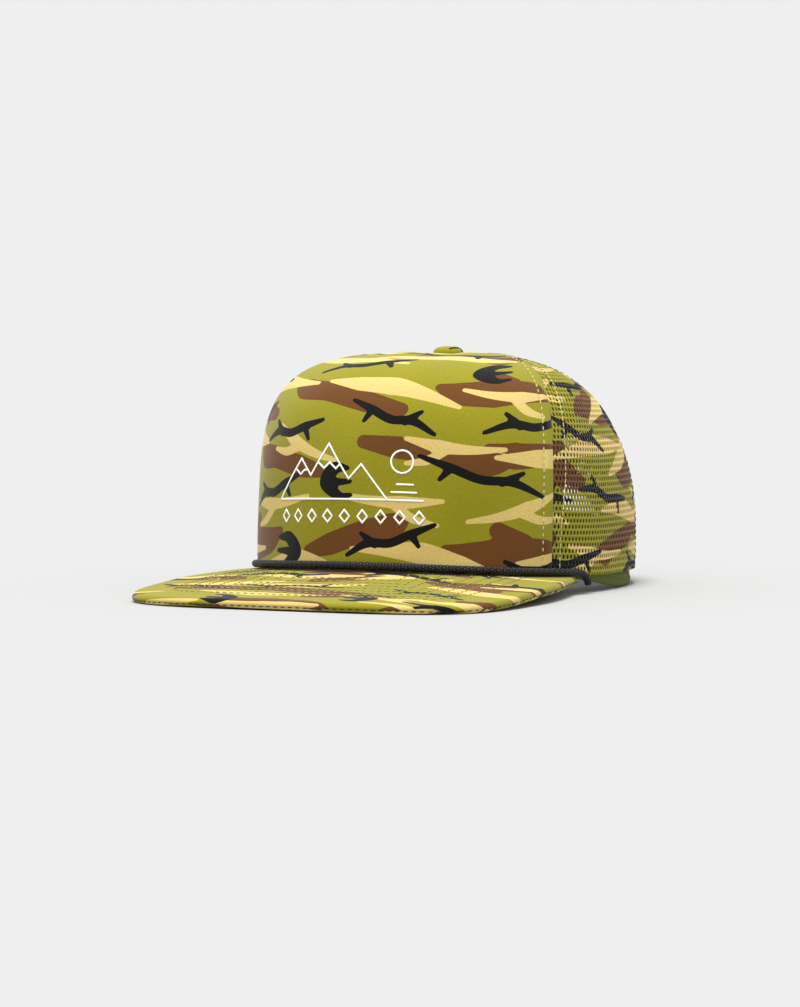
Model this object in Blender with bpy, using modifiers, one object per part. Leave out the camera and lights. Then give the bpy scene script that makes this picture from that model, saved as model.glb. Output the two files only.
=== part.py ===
"""Five-panel trucker cap: padded front panel, mesh crown, roped flat brim and a snap strap.

The cap faces -Y and stands on its brim and sweatband. Azimuths turn about the crown's
upright axis from the front centre, positive towards the wearer's left (+X). A rise is a
distance measured over the crown from its hem, and an inset is a depth below its outer face.
"""

import functools
import math

import bmesh
import bpy
import numpy as np
from mathutils import Matrix, Vector

# Crown, metres
HALF_WIDTH = 0.0840  # outer face at the hem, across the head
HALF_LENGTH = 0.0940  # outer face at the hem, front to back
CROWN_TOP = 0.1080  # top of the panels above the table
PLAN_POWER = 2.2  # squareness of the crown seen from above
TOP_POWER_FRONT = 4.6  # squareness of the upright profile at the front
TOP_POWER_REAR = 2.3  # and at the back
HEM_SIDE = 0.0076  # height of the hem at the sides
HEM_FRONT_RISE = 0.0055  # how much higher the hem is over the brim
HEM_REAR_DROP = 0.0009
PANEL_STOP = 0.0060  # radius of the hole that the button closes
SEAM_GAP = 0.0005  # between neighbouring panels
GAP = 0.0003  # between layers

# Panels, as azimuths in degrees
FRONT_SEAM_LOW = 56.8
FRONT_SEAM_TOP = 90.0
FRONT_SEAM_POWER = 3.0
SIDE_SEAM = 126.0
FACE_THICK = 0.0007
FOAM_THICK = 0.0025
MESH_THICK = 0.0008
TAPE_THICK = 0.0006
FRONT_TAPE_WIDTH = 0.0075
SEAM_TAPE_WIDTH = 0.0080
TAPE_STOP = 0.0240  # radius where the tapes end, short of the button
TAPE_STANDOFF = 0.0008  # the tapes hang clear of the mesh between its seams

# Arch at the back
ARCH_HALF_ANGLE = 31.0
ARCH_HEIGHT = 0.0420
ARCH_POWER = 2.5
BINDING_THICK = 0.0005
BINDING_LEG = 0.0065

# Brim
BRIM_REACH = 0.0770  # ahead of the crown
BRIM_OVERHANG = 0.0060  # beyond the crown's half width, each side
BRIM_WIDEST_AHEAD = 0.0040  # widest line, ahead of the crown
BRIM_CORNER_POWER = 3.85
BRIM_TIP = 67.0  # azimuth where each end meets the crown, degrees
BRIM_TUCK = 0.0040  # width of the margin that runs under the front panel
BRIM_TILT = 0.064  # fall per metre of reach
BRIM_REAR_TILT = 0.020  # rise per metre beside the crown
BRIM_BEND = 0.0022  # fall of the sides
BRIM_FLAT_HALF = 0.0300  # half width of the flat middle
BRIM_RAMP = 0.0460  # width of the inner part, which rises to meet the hem
COVER_THICK = 0.0007
BOARD_THICK = 0.0019
BOARD_CLEARANCE = 0.0008  # between the board and the turned-down cover, along the reach

# Rope along the foot of the front panel
ROPE_RADIUS = 0.0020
ROPE_TURN_BEFORE_TIP = 1.0  # where each end starts to turn down, degrees
ROPE_END_DROPS = ((1.6, 0.0008), (3.2, 0.0026), (4.0, 0.0048))  # degrees past the tip, drop

# Button
BUTTON_LAP = 0.0012  # over the panels' ends
BUTTON_HEIGHT = 0.0036
BUTTON_WALL = 0.0005
POST_RADIUS = 0.0016
BACK_LAP = 0.0008
BACK_THICK = 0.0010

# Sweatband and its pad
BAND_THICK = 0.0008
BAND_WIDTH = 0.0310
BAND_END_BEFORE_ARCH = 1.0  # degrees
BAND_FRONT_HEM = 0.0010  # below the crown's hem, at the brim
BAND_FREE_BEFORE_TIP = 5.0  # its edge comes down to the table from here, degrees
BAND_FREE_SPAN = 43.0
PAD_THICK = 0.0022
PAD_END_BEFORE_SEAM = 4.8  # degrees
PAD_LOW = 0.0010
PAD_WIDTH = 0.0250

# Snap strap, two halves that overlap at the back
STRAP_THICK = 0.0012
STRAP_WIDTH = 0.0180
STRAP_LOW = 0.0010  # above the hem
STRAP_CORNER = 0.0060
STRAP_OVERLAP_HALF = 0.0200  # past the back centre
STRAP_PIVOT_SETBACK = 0.0045  # from the arch's edge into the arch
STRAP_ROOT_GAP = 0.0010
STRAP_ROOT_LENGTH = 0.0125
STRAP_LAP_GAP = 0.0004
STRAP_STEP_LENGTH = 0.0140  # over which the inner half steps inwards
PEG_RADIUS = 0.0016
PEG_CLEARANCE = 0.0008  # in its hole, so that the halves can part
PEG_TIP = 0.0003  # proud of the half with holes
PEG_PITCH = 0.0080
PEG_COUNT = 7
PEG_FROM_TIP = 0.0040

# Blank care label
LABEL_AZIMUTH = -118.0
LABEL_WIDTH = 0.0240
LABEL_LENGTH = 0.0200
LABEL_THICK = 0.0004
LABEL_BELOW_BAND = 0.0020
LABEL_STANDOFF = 0.0016

# Worked out from the sizes above
MESH_MID = MESH_THICK / 2
FOAM_BACK = FACE_THICK + GAP + FOAM_THICK
TAPE_BACK = MESH_THICK + TAPE_STANDOFF + TAPE_THICK
TAPE_MID = TAPE_BACK - TAPE_THICK / 2
BINDING_OUT = -(GAP + BINDING_THICK / 2)
BINDING_IN = MESH_THICK + GAP + BINDING_THICK / 2
BINDING_BACK = BINDING_IN + BINDING_THICK / 2
STRAP_MID = BINDING_BACK + GAP + STRAP_THICK / 2
STRAP_INNER_MID = STRAP_MID + STRAP_THICK + STRAP_LAP_GAP
PEG_PROUD = STRAP_LAP_GAP + STRAP_THICK + PEG_TIP
HOLE_RADIUS = PEG_RADIUS + PEG_CLEARANCE
ARCH_FOOT = 180.0 - ARCH_HALF_ANGLE
BAND_END = ARCH_FOOT - BAND_END_BEFORE_ARCH
BAND_FREE_START = BRIM_TIP - BAND_FREE_BEFORE_TIP
BAND_FREE_END = BAND_FREE_START + BAND_FREE_SPAN
PAD_END = FRONT_SEAM_LOW - PAD_END_BEFORE_SEAM
BUTTON_RADIUS = PANEL_STOP + BUTTON_LAP
BACK_RADIUS = PANEL_STOP + BACK_LAP
BOARD_INSET = COVER_THICK + BOARD_CLEARANCE
ROPE_TURN = BRIM_TIP - ROPE_TURN_BEFORE_TIP
PAD_MID = FOAM_BACK + GAP + PAD_THICK / 2
BAND_MID_FRONT = FOAM_BACK + PAD_THICK + 2 * GAP + BAND_THICK / 2
BAND_MID_SIDE = TAPE_BACK + GAP + BAND_THICK / 2
BAND_MID_REAR = STRAP_MID + STRAP_THICK / 2 + GAP + BAND_THICK / 2
BOARD_TOP = COVER_THICK + GAP
UNDER_TOP = BOARD_TOP + BOARD_THICK + GAP
BRIM_THICK = UNDER_TOP + COVER_THICK
BRIM_HALF_WIDTH = HALF_WIDTH + BRIM_OVERHANG
REAR_MOST = HALF_LENGTH - (STRAP_MID - STRAP_THICK / 2)
CENTER_Y = (HALF_LENGTH + BRIM_REACH - REAR_MOST) / 2
MERIDIAN_STEPS = 97
PANEL_ROWS = 14  # facets from hem to button
ARCH_COLUMNS = 10  # facets over half the arch, shared by the mesh and the binding
BESIDE_COLUMNS = 5  # and from the side seam to the arch
PROBE = 0.0004  # step used to find the crown's outward direction


# ---------------------------------------------------------------- small helpers

def ease(value, start, end):
    """Rise smoothly from 0 at start to 1 at end."""
    share = min(max((value - start) / (end - start), 0.0), 1.0)
    return share * share * (3.0 - 2.0 * share)


def mix(first, second, share):
    return first + (second - first) * share


def on_plan(azimuth, radius, height):
    """A point at an azimuth, in radians, and a radius about the crown's axis."""
    return Vector((radius * math.sin(azimuth), CENTER_Y - radius * math.cos(azimuth), height))


# ---------------------------------------------------------------- crown surface

def plan_radius(azimuth):
    """Radius of the crown's outer face at the hem."""
    across = abs(math.sin(azimuth)) / HALF_WIDTH
    along = abs(math.cos(azimuth)) / HALF_LENGTH
    return (across ** PLAN_POWER + along ** PLAN_POWER) ** (-1.0 / PLAN_POWER)


def hem_height(azimuth):
    forward = math.cos(azimuth)
    if forward > 0.0:
        return HEM_SIDE + HEM_FRONT_RISE * forward ** 2
    return HEM_SIDE - HEM_REAR_DROP * forward ** 2


@functools.lru_cache(maxsize=None)
def meridian(azimuth):
    """Rises, radii and heights up the crown's outer face, from the hem to the top."""
    rearward = (1.0 - math.cos(azimuth)) / 2.0
    power = mix(TOP_POWER_FRONT, TOP_POWER_REAR, rearward)
    angles = np.linspace(0.0, math.pi / 2.0, MERIDIAN_STEPS)
    outward = np.abs(np.cos(angles))
    upward = np.sin(angles)
    reach = (outward ** power + upward ** power) ** (-1.0 / power)
    low = hem_height(azimuth)
    radii = plan_radius(azimuth) * reach * outward
    heights = low + (CROWN_TOP - low) * reach * upward
    rises = np.concatenate(([0.0], np.cumsum(np.hypot(np.diff(radii), np.diff(heights)))))
    return rises, radii, heights


def face_point(azimuth, rise):
    """A point of the crown's outer face. Below the hem the face runs straight down."""
    rises, radii, heights = meridian(azimuth)
    radius = float(np.interp(rise, rises, radii))
    height = float(np.interp(rise, rises, heights)) + min(rise, 0.0)
    return on_plan(azimuth, radius, height)


def crown_point(azimuth, rise, inset):
    """A point at a depth below the crown's outer face."""
    here = face_point(azimuth, rise)
    turn = PROBE / max(math.hypot(here.x, here.y - CENTER_Y), PROBE)
    along = face_point(azimuth + turn, rise) - face_point(azimuth - turn, rise)
    upward = face_point(azimuth, rise + PROBE) - face_point(azimuth, rise - PROBE)
    return here - along.cross(upward).normalized() * inset


def rise_at_radius(azimuth, radius):
    """Rise of the place where the crown's top has closed in to a radius."""
    rises, radii, _ = meridian(azimuth)
    return float(np.interp(-radius, -radii, rises))


def radius_at(azimuth, rise):
    rises, radii, _ = meridian(azimuth)
    return float(np.interp(rise, rises, radii))


# ---------------------------------------------------------------- building blocks

def finish(piece, colour, roughness, metallic=0.0):
    """Give a piece its own material and smooth its curved faces."""
    material = bpy.data.materials.new(piece.name + "_material")
    material.use_nodes = True
    shader = material.node_tree.nodes["Principled BSDF"]
    shader.inputs["Base Color"].default_value = (*colour, 1.0)
    shader.inputs["Roughness"].default_value = roughness
    shader.inputs["Metallic"].default_value = metallic
    piece.data.materials.append(material)
    if piece.type == "MESH":
        piece.data.shade_smooth()
        piece.data.set_sharp_from_angle(angle=math.radians(40.0))
    return piece


def mesh_piece(name, shape, group):
    """Turn a bmesh into an object in a collection."""
    mesh = bpy.data.meshes.new(name)
    shape.to_mesh(mesh)
    shape.free()
    piece = bpy.data.objects.new(name, mesh)
    group.objects.link(piece)
    return piece


def sheet(name, columns, rows, place, thickness, group):
    """Map a grid by place(u, v) to a piece's middle surface, then thicken it."""
    shape = bmesh.new()
    bmesh.ops.create_grid(shape, x_segments=columns, y_segments=rows, size=0.5)
    for corner in shape.verts:
        corner.co = place(corner.co.x + 0.5, corner.co.y + 0.5)
    piece = mesh_piece(name, shape, group)
    wall = piece.modifiers.new("thickness", "SOLIDIFY")
    wall.thickness = thickness
    wall.offset = 0.0
    wall.use_even_offset = True
    return piece


def turned(name, profile, steps, group):
    """Turn a profile of (radius, height) about the crown's axis."""
    shape = bmesh.new()
    corners = [shape.verts.new((radius, 0.0, height)) for radius, height in profile]
    for first, second in zip(corners, corners[1:]):
        shape.edges.new((first, second))
    piece = mesh_piece(name, shape, group)
    piece.location = (0.0, CENTER_Y, 0.0)
    screw = piece.modifiers.new("turn", "SCREW")
    screw.steps = steps
    screw.render_steps = steps
    screw.use_merge_vertices = True
    screw.merge_threshold = 0.00005
    return piece


def combine(piece, cutter, operation):
    """Join a cutter to a piece or take it away, with the exact solver."""
    change = piece.modifiers.new(operation.lower(), "BOOLEAN")
    change.operation = operation
    change.solver = "EXACT"
    change.object = cutter
    return piece


# ---------------------------------------------------------------- crown panels

def seam_trim(azimuth, rise):
    """Angle of half a seam gap at a place on the crown."""
    return SEAM_GAP / 2.0 / max(radius_at(azimuth, rise), PANEL_STOP)


def front_seam(share):
    """Azimuth of the front seam, at a share of the way from the hem to the button."""
    low = math.radians(FRONT_SEAM_LOW)
    return mix(low, math.radians(FRONT_SEAM_TOP), share ** FRONT_SEAM_POWER)


def panel_spot(first, second, low, u, v, inset):
    """A point of a panel between two azimuths, from a low edge up to the button."""
    middle = mix(first, second, u)
    rise = mix(low, rise_at_radius(middle, PANEL_STOP), v)
    trim = seam_trim(middle, rise)
    azimuth = mix(first + trim, second - trim, u)
    return crown_point(azimuth, mix(low, rise_at_radius(azimuth, PANEL_STOP), v), inset)


def front_panel(name, inset, thickness, columns, rows, group):
    def place(u, v):
        return panel_spot(-front_seam(v), front_seam(v), 0.0, u, v, inset)
    return sheet(name, columns, rows, place, thickness, group)


def side_panel(name, side, group):
    def place(u, v):
        spot = panel_spot(front_seam(v), math.radians(SIDE_SEAM), 0.0, u, v, MESH_MID)
        return Vector((side * spot.x, spot.y, spot.z))
    return sheet(name, 11, PANEL_ROWS, place, MESH_THICK, group)


def arch_edge(angle):
    """Azimuth and rise on the arch's edge. Angle 0 is its left foot, 90 degrees its top."""
    across = math.cos(angle)
    span = math.copysign(abs(across) ** (2.0 / ARCH_POWER), across)
    rise = ARCH_HEIGHT * abs(math.sin(angle)) ** (2.0 / ARCH_POWER)
    return math.pi - math.radians(ARCH_HALF_ANGLE) * span, rise


def rear_panel(name, side, group):
    """A rear mesh panel: a plain stretch beside the arch, then the stretch above it."""
    columns = BESIDE_COLUMNS + ARCH_COLUMNS
    beside = BESIDE_COLUMNS / columns

    def low_edge(u):
        if u <= beside:
            return math.radians(mix(SIDE_SEAM, ARCH_FOOT, u / beside)), 0.0
        return arch_edge((u - beside) / (1.0 - beside) * math.pi / 2.0)

    def place(u, v):
        base, low = low_edge(u)
        rise = mix(low, rise_at_radius(base, PANEL_STOP), v)
        trim = seam_trim(base, rise)
        start, end = math.radians(SIDE_SEAM), math.pi
        azimuth = start + trim + (base - start) * (end - start - 2.0 * trim) / (end - start)
        spot = crown_point(azimuth, mix(low, rise_at_radius(azimuth, PANEL_STOP), v), MESH_MID)
        return Vector((side * spot.x, spot.y, spot.z))
    return sheet(name, columns, PANEL_ROWS, place, MESH_THICK, group)


def tape(name, side, seam, start, end, low, group):
    """A tape inside the crown, between two distances to the side of a seam."""
    def place(u, v):
        share = mix(low, 1.0, v)
        azimuth = seam(share)
        rise = share * rise_at_radius(azimuth, TAPE_STOP)
        azimuth += mix(start, end, u) / radius_at(azimuth, rise)
        spot = crown_point(azimuth, rise, TAPE_MID)
        return Vector((side * spot.x, spot.y, spot.z))
    return sheet(name, 2, PANEL_ROWS, place, TAPE_THICK, group)


def front_tape_seam(share):
    """The front seam's azimuth, at a share of the way to where the tape stops."""
    azimuth = front_seam(share)
    reach = rise_at_radius(azimuth, TAPE_STOP) / rise_at_radius(azimuth, PANEL_STOP)
    return front_seam(share * reach)


def arch_binding(group):
    """A tape folded over the arch's edge, both faces of the mesh."""
    legs = ((BINDING_LEG, BINDING_OUT), (BINDING_OUT, BINDING_OUT),
            (BINDING_OUT, BINDING_IN), (BINDING_LEG, BINDING_IN))
    step = 0.01

    def place(u, v):
        angle = u * math.pi
        azimuth, rise = arch_edge(angle)
        after = arch_edge(min(angle + step, math.pi))
        before = arch_edge(max(angle - step, 0.0))
        radius = radius_at(azimuth, rise)
        along = Vector(((after[0] - before[0]) * radius, after[1] - before[1])).normalized()
        depth, inset = legs[round(v * (len(legs) - 1))]
        azimuth -= along.y * depth / radius
        return crown_point(azimuth, rise + along.x * depth, inset)
    return sheet("arch_binding", 2 * ARCH_COLUMNS, len(legs) - 1, place, BINDING_THICK, group)


# ---------------------------------------------------------------- brim and rope

@functools.lru_cache(maxsize=None)
def brim_outline():
    """Azimuths and radii of half the brim's edge, from the front centre to its tip."""
    widest = HALF_LENGTH + BRIM_WIDEST_AHEAD
    ahead = BRIM_REACH - BRIM_WIDEST_AHEAD
    angles = np.linspace(0.0, math.pi / 2.0, 64)
    forward = np.abs(np.cos(angles))
    sideways = np.sin(angles)
    reach = (forward ** BRIM_CORNER_POWER + sideways ** BRIM_CORNER_POWER)
    reach = reach ** (-1.0 / BRIM_CORNER_POWER)
    tip = math.radians(BRIM_TIP)
    tip_x = plan_radius(tip) * math.sin(tip)
    tip_y = plan_radius(tip) * math.cos(tip)
    back = np.linspace(0.0, 1.0, 32)[1:]
    side_x = tip_x + (BRIM_HALF_WIDTH - tip_x) * np.cos(back * math.pi / 2.0)
    side_y = widest + (tip_y - widest) * back
    x = np.concatenate((BRIM_HALF_WIDTH * reach * sideways, side_x))
    y = np.concatenate((widest + ahead * reach * forward, side_y))
    return np.arctan2(x, y), np.hypot(x, y)


def brim_fall(x, forward):
    """Fall of the brim below its level at the crown's front centre."""
    ahead = forward - HALF_LENGTH
    slope = BRIM_TILT if ahead > 0.0 else BRIM_REAR_TILT
    side = max(abs(x) - BRIM_FLAT_HALF, 0.0) / (BRIM_HALF_WIDTH - BRIM_FLAT_HALF)
    return slope * ahead + BRIM_BEND * side ** 2


@functools.lru_cache(maxsize=None)
def brim_root():
    """Height that stands the lowest places of the brim's edge on the table."""
    falls = [brim_fall(radius * math.sin(azimuth), radius * math.cos(azimuth))
             for azimuth, radius in zip(*brim_outline())]
    return BRIM_THICK + max(falls)


def brim_plane(x, forward):
    """Height of the brim's top face, before its root rises to meet the hem."""
    return brim_root() - brim_fall(x, forward)


def brim_point(azimuth, share, depth, inset=0.0):
    """A point below the brim's top face, from its root at share 0 to its edge at 1."""
    root = plan_radius(azimuth) - BRIM_TUCK
    azimuths, radii = brim_outline()
    edge = float(np.interp(abs(azimuth), azimuths, radii)) - inset
    radius = mix(root, edge, share)
    lift = hem_height(azimuth) - GAP - brim_plane(root * math.sin(azimuth), root * math.cos(azimuth))
    ramp = max(1.0 - (radius - root) / BRIM_RAMP, 0.0) ** 2
    height = brim_plane(radius * math.sin(azimuth), radius * math.cos(azimuth))
    return on_plan(azimuth, radius, height + lift * ramp - depth)


def brim_azimuth(u):
    return mix(-1.0, 1.0, u) * math.radians(BRIM_TIP)


def brim_sheet(name, depth, thickness, inset, group):
    def place(u, v):
        return brim_point(brim_azimuth(u), v, depth, inset)
    return sheet(name, 30, 5, place, thickness, group)


def brim_top_cover(group):
    """The top cover, turned down round the board's edge as far as the under cover."""
    top_rows = 5
    lip_rows = 1
    middle = COVER_THICK / 2.0
    lip_end = UNDER_TOP - GAP

    def place(u, v):
        row = round(v * (top_rows + lip_rows))
        share = min(row / top_rows, 1.0)
        down = max(row - top_rows, 0) / lip_rows
        return brim_point(brim_azimuth(u), share, mix(middle, lip_end, down), middle)
    return sheet("brim_top_cover", 30, top_rows + lip_rows, place, COVER_THICK, group)


def rope(group):
    """A rope lying in the corner between the brim and the front panel."""
    turn = math.radians(ROPE_TURN)
    stand = ROPE_RADIUS + GAP

    def seat(azimuth, drop):
        height = hem_height(azimuth) - GAP + stand - drop
        return on_plan(azimuth, plan_radius(azimuth) + stand, height)
    points = [seat(mix(-turn, turn, step / 36.0), 0.0) for step in range(37)]
    for degrees, drop in ROPE_END_DROPS:
        points.append(seat(math.radians(BRIM_TIP + degrees), drop))
        points.insert(0, seat(-math.radians(BRIM_TIP + degrees), drop))
    path = bpy.data.curves.new("rope", "CURVE")
    path.dimensions = "3D"
    path.bevel_depth = ROPE_RADIUS
    path.bevel_resolution = 2
    path.use_fill_caps = True
    line = path.splines.new("POLY")
    line.points.add(len(points) - 1)
    for point, spot in zip(line.points, points):
        point.co = (*spot, 1.0)
    piece = bpy.data.objects.new("rope", path)
    group.objects.link(piece)
    return piece


# ---------------------------------------------------------------- button

def dome(radius, low, height, steps):
    """A dome's profile from its rim to its top, squarer than a circle."""
    points = []
    for step in range(steps + 1):
        angle = step / steps * math.pi / 2.0
        across = max(math.cos(angle), 0.0) ** 0.7
        points.append((radius * across, low + height * math.sin(angle) ** 0.9))
    points[-1] = (0.0, low + height)
    return points


def button_parts(group):
    """The covered button: fabric, the shell inside it, and the post with its back."""
    seat = CROWN_TOP + GAP
    shell_radius = BUTTON_RADIUS - BUTTON_WALL - GAP
    shell_height = BUTTON_HEIGHT - BUTTON_WALL - GAP
    cover = dome(BUTTON_RADIUS, seat, BUTTON_HEIGHT, 6)
    inner = dome(BUTTON_RADIUS - BUTTON_WALL, seat, BUTTON_HEIGHT - BUTTON_WALL, 5)
    cover_piece = turned("button_cover", cover[::-1] + inner, 24, group)
    outer = dome(shell_radius, seat, shell_height, 5)
    hollow = dome(shell_radius - BUTTON_WALL, seat, shell_height - BUTTON_WALL, 5)
    shell_piece = turned("button_shell", outer[::-1] + hollow, 24, group)
    under = CROWN_TOP - FOAM_BACK - GAP
    top = seat + shell_height - BUTTON_WALL - GAP
    back = [(0.0, top), (POST_RADIUS, top), (POST_RADIUS, under), (BACK_RADIUS, under),
            (BACK_RADIUS, under - BACK_THICK), (0.0, under - BACK_THICK)]
    back_piece = turned("button_back", back, 24, group)
    return cover_piece, shell_piece, back_piece


# ---------------------------------------------------------------- sweatband

def band_inset(azimuth):
    """Depth of the sweatband's middle: behind the pad, then the mesh, then the strap ends."""
    degrees = abs(math.degrees(azimuth))
    inset = mix(BAND_MID_FRONT, BAND_MID_SIDE, ease(degrees, FRONT_SEAM_LOW + 3.0, FRONT_SEAM_LOW + 23.0))
    return mix(inset, BAND_MID_REAR, ease(degrees, ARCH_FOOT - 21.0, ARCH_FOOT - 12.0))


def band_low(azimuth):
    """Height of the sweatband's lower edge."""
    free = ease(abs(math.degrees(azimuth)), BAND_FREE_START, BAND_FREE_END)
    return mix(hem_height(azimuth) - BAND_FRONT_HEM, 0.0, free)


def band_point(azimuth, height, inset):
    """A point at a height near the hem, at a depth below the crown's outer face."""
    return crown_point(azimuth, height - hem_height(azimuth), inset)


def sweatband(group):
    def place(u, v):
        azimuth = mix(-1.0, 1.0, u) * math.radians(BAND_END)
        height = band_low(azimuth) + v * BAND_WIDTH
        return band_point(azimuth, height, band_inset(azimuth))
    return sheet("sweatband", 46, 3, place, BAND_THICK, group)


def forehead_pad(group):
    def place(u, v):
        azimuth = mix(-1.0, 1.0, u) * math.radians(PAD_END)
        return crown_point(azimuth, PAD_LOW + v * PAD_WIDTH, PAD_MID)
    return sheet("forehead_pad", 16, 2, place, PAD_THICK, group)


# ---------------------------------------------------------------- snap strap

def strap_radius():
    return HALF_LENGTH - STRAP_MID


def strap_azimuth(distance):
    """Azimuth at a distance from the back centre, positive towards the wearer's left."""
    return math.pi - distance / strap_radius()


def pivot_distance():
    """Distance of a strap's bend line from the back centre."""
    return math.radians(ARCH_HALF_ANGLE) * strap_radius() - STRAP_PIVOT_SETBACK


def strap_inset(side, distance):
    """Depth of a strap's middle. The half with pegs (side -1) steps inside the other."""
    if side > 0.0:
        return STRAP_MID
    from_pivot = pivot_distance() - side * distance
    return mix(STRAP_MID, STRAP_INNER_MID, ease(from_pivot, 0.0, STRAP_STEP_LENGTH))


def strap_spot(distance, above, inset):
    return crown_point(strap_azimuth(distance), above, inset)


def strap_frame(side, distance):
    """Middle of a strap and its outward direction at a distance from the back centre."""
    middle = STRAP_LOW + STRAP_WIDTH / 2.0
    inset = strap_inset(side, distance)
    spot = strap_spot(distance, middle, inset)
    outward = strap_spot(distance, middle, inset - STRAP_THICK) - spot
    return spot, outward.normalized()


def strap_plate(name, side, group):
    """One half of the strap, from its bend line to a rounded tip past the back centre."""
    start = pivot_distance()
    length = start + STRAP_OVERLAP_HALF
    columns = 26
    round_columns = 6

    def along(u):
        column = round(u * columns)
        straight = columns - round_columns
        if column <= straight:
            return (length - STRAP_CORNER) * column / straight
        angle = (column - straight) / round_columns * math.pi / 2.0
        return length - STRAP_CORNER + STRAP_CORNER * math.sin(angle)

    def place(u, v):
        run = along(u)
        over = max(run - (length - STRAP_CORNER), 0.0)
        corner = math.sqrt(max(STRAP_CORNER ** 2 - over ** 2, 0.0))
        half = STRAP_WIDTH / 2.0 - STRAP_CORNER + corner
        above = STRAP_LOW + STRAP_WIDTH / 2.0 + mix(-half, half, v)
        distance = side * (start - run)
        return strap_spot(distance, above, strap_inset(side, distance))
    return sheet(name, columns, 2, place, STRAP_THICK, group)


def strap_pins(name, side, radius, low, high, sides, group):
    """A row of pins square to a strap, as pegs or as cutters for holes."""
    shape = bmesh.new()
    for number in range(PEG_COUNT):
        from_centre = STRAP_OVERLAP_HALF - PEG_FROM_TIP - number * PEG_PITCH
        spot, outward = strap_frame(side, -side * from_centre)
        turn = outward.to_track_quat("Z", "Y").to_matrix().to_4x4()
        spot = Matrix.Translation(spot + outward * (low + high) / 2.0)
        bmesh.ops.create_cone(shape, cap_ends=True, segments=sides, radius1=radius,
                              radius2=radius, depth=high - low, matrix=spot @ turn)
    return mesh_piece(name, shape, group)


def strap_halves(group, cutters):
    """The half with holes from the wearer's left, and the half with pegs inside it."""
    reach = STRAP_THICK
    holes = strap_plate("snap_strap_holes", 1.0, group)
    punch = strap_pins("hole_punch", 1.0, HOLE_RADIUS, -reach, reach, 16, cutters)
    combine(holes, punch, "DIFFERENCE")
    pegs = strap_plate("snap_strap_pegs", -1.0, group)
    proud = STRAP_THICK / 2.0 + PEG_PROUD
    stock = strap_pins("peg_stock", -1.0, PEG_RADIUS, 0.0, proud, 12, cutters)
    combine(pegs, stock, "UNION")
    return holes, pegs


def strap_root(name, side, group):
    """A strap's sewn end, between the mesh and the sweatband."""
    start = pivot_distance() + STRAP_ROOT_GAP

    def place(u, v):
        distance = side * (start + u * STRAP_ROOT_LENGTH)
        return strap_spot(distance, STRAP_LOW + v * STRAP_WIDTH, STRAP_MID)
    return sheet(name, 4, 2, place, STRAP_THICK, group)


# ---------------------------------------------------------------- label

def care_label(group):
    """A blank label that hangs by its upper edge inside the sweatband."""
    azimuth = math.radians(LABEL_AZIMUTH)
    sagitta = LABEL_WIDTH ** 2 / 8.0 / plan_radius(azimuth)
    inset = band_inset(azimuth) + BAND_THICK / 2.0 + sagitta + LABEL_STANDOFF
    height = band_low(azimuth) + BAND_WIDTH - LABEL_BELOW_BAND
    edge = band_point(azimuth, height, inset)
    outward = band_point(azimuth, height, 0.0) - edge
    along = Vector((outward.y, -outward.x, 0.0)).normalized()

    def place(u, v):
        return along * mix(-0.5, 0.5, u) * LABEL_WIDTH - Vector((0.0, 0.0, v * LABEL_LENGTH))
    piece = sheet("care_label", 4, 3, place, LABEL_THICK, group)
    piece.location = edge
    return piece


# ---------------------------------------------------------------- hinged pieces

def set_pivot(piece, spot):
    """Move a piece's origin to a joint's axis and leave its shape in place."""
    piece.data.transform(Matrix.Translation(-spot))
    piece.location = spot


def strap_pivot(side):
    """A point on the bend line of one strap half."""
    return strap_spot(side * pivot_distance(), STRAP_LOW, STRAP_MID)


# ---------------------------------------------------------------- the cap

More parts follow.
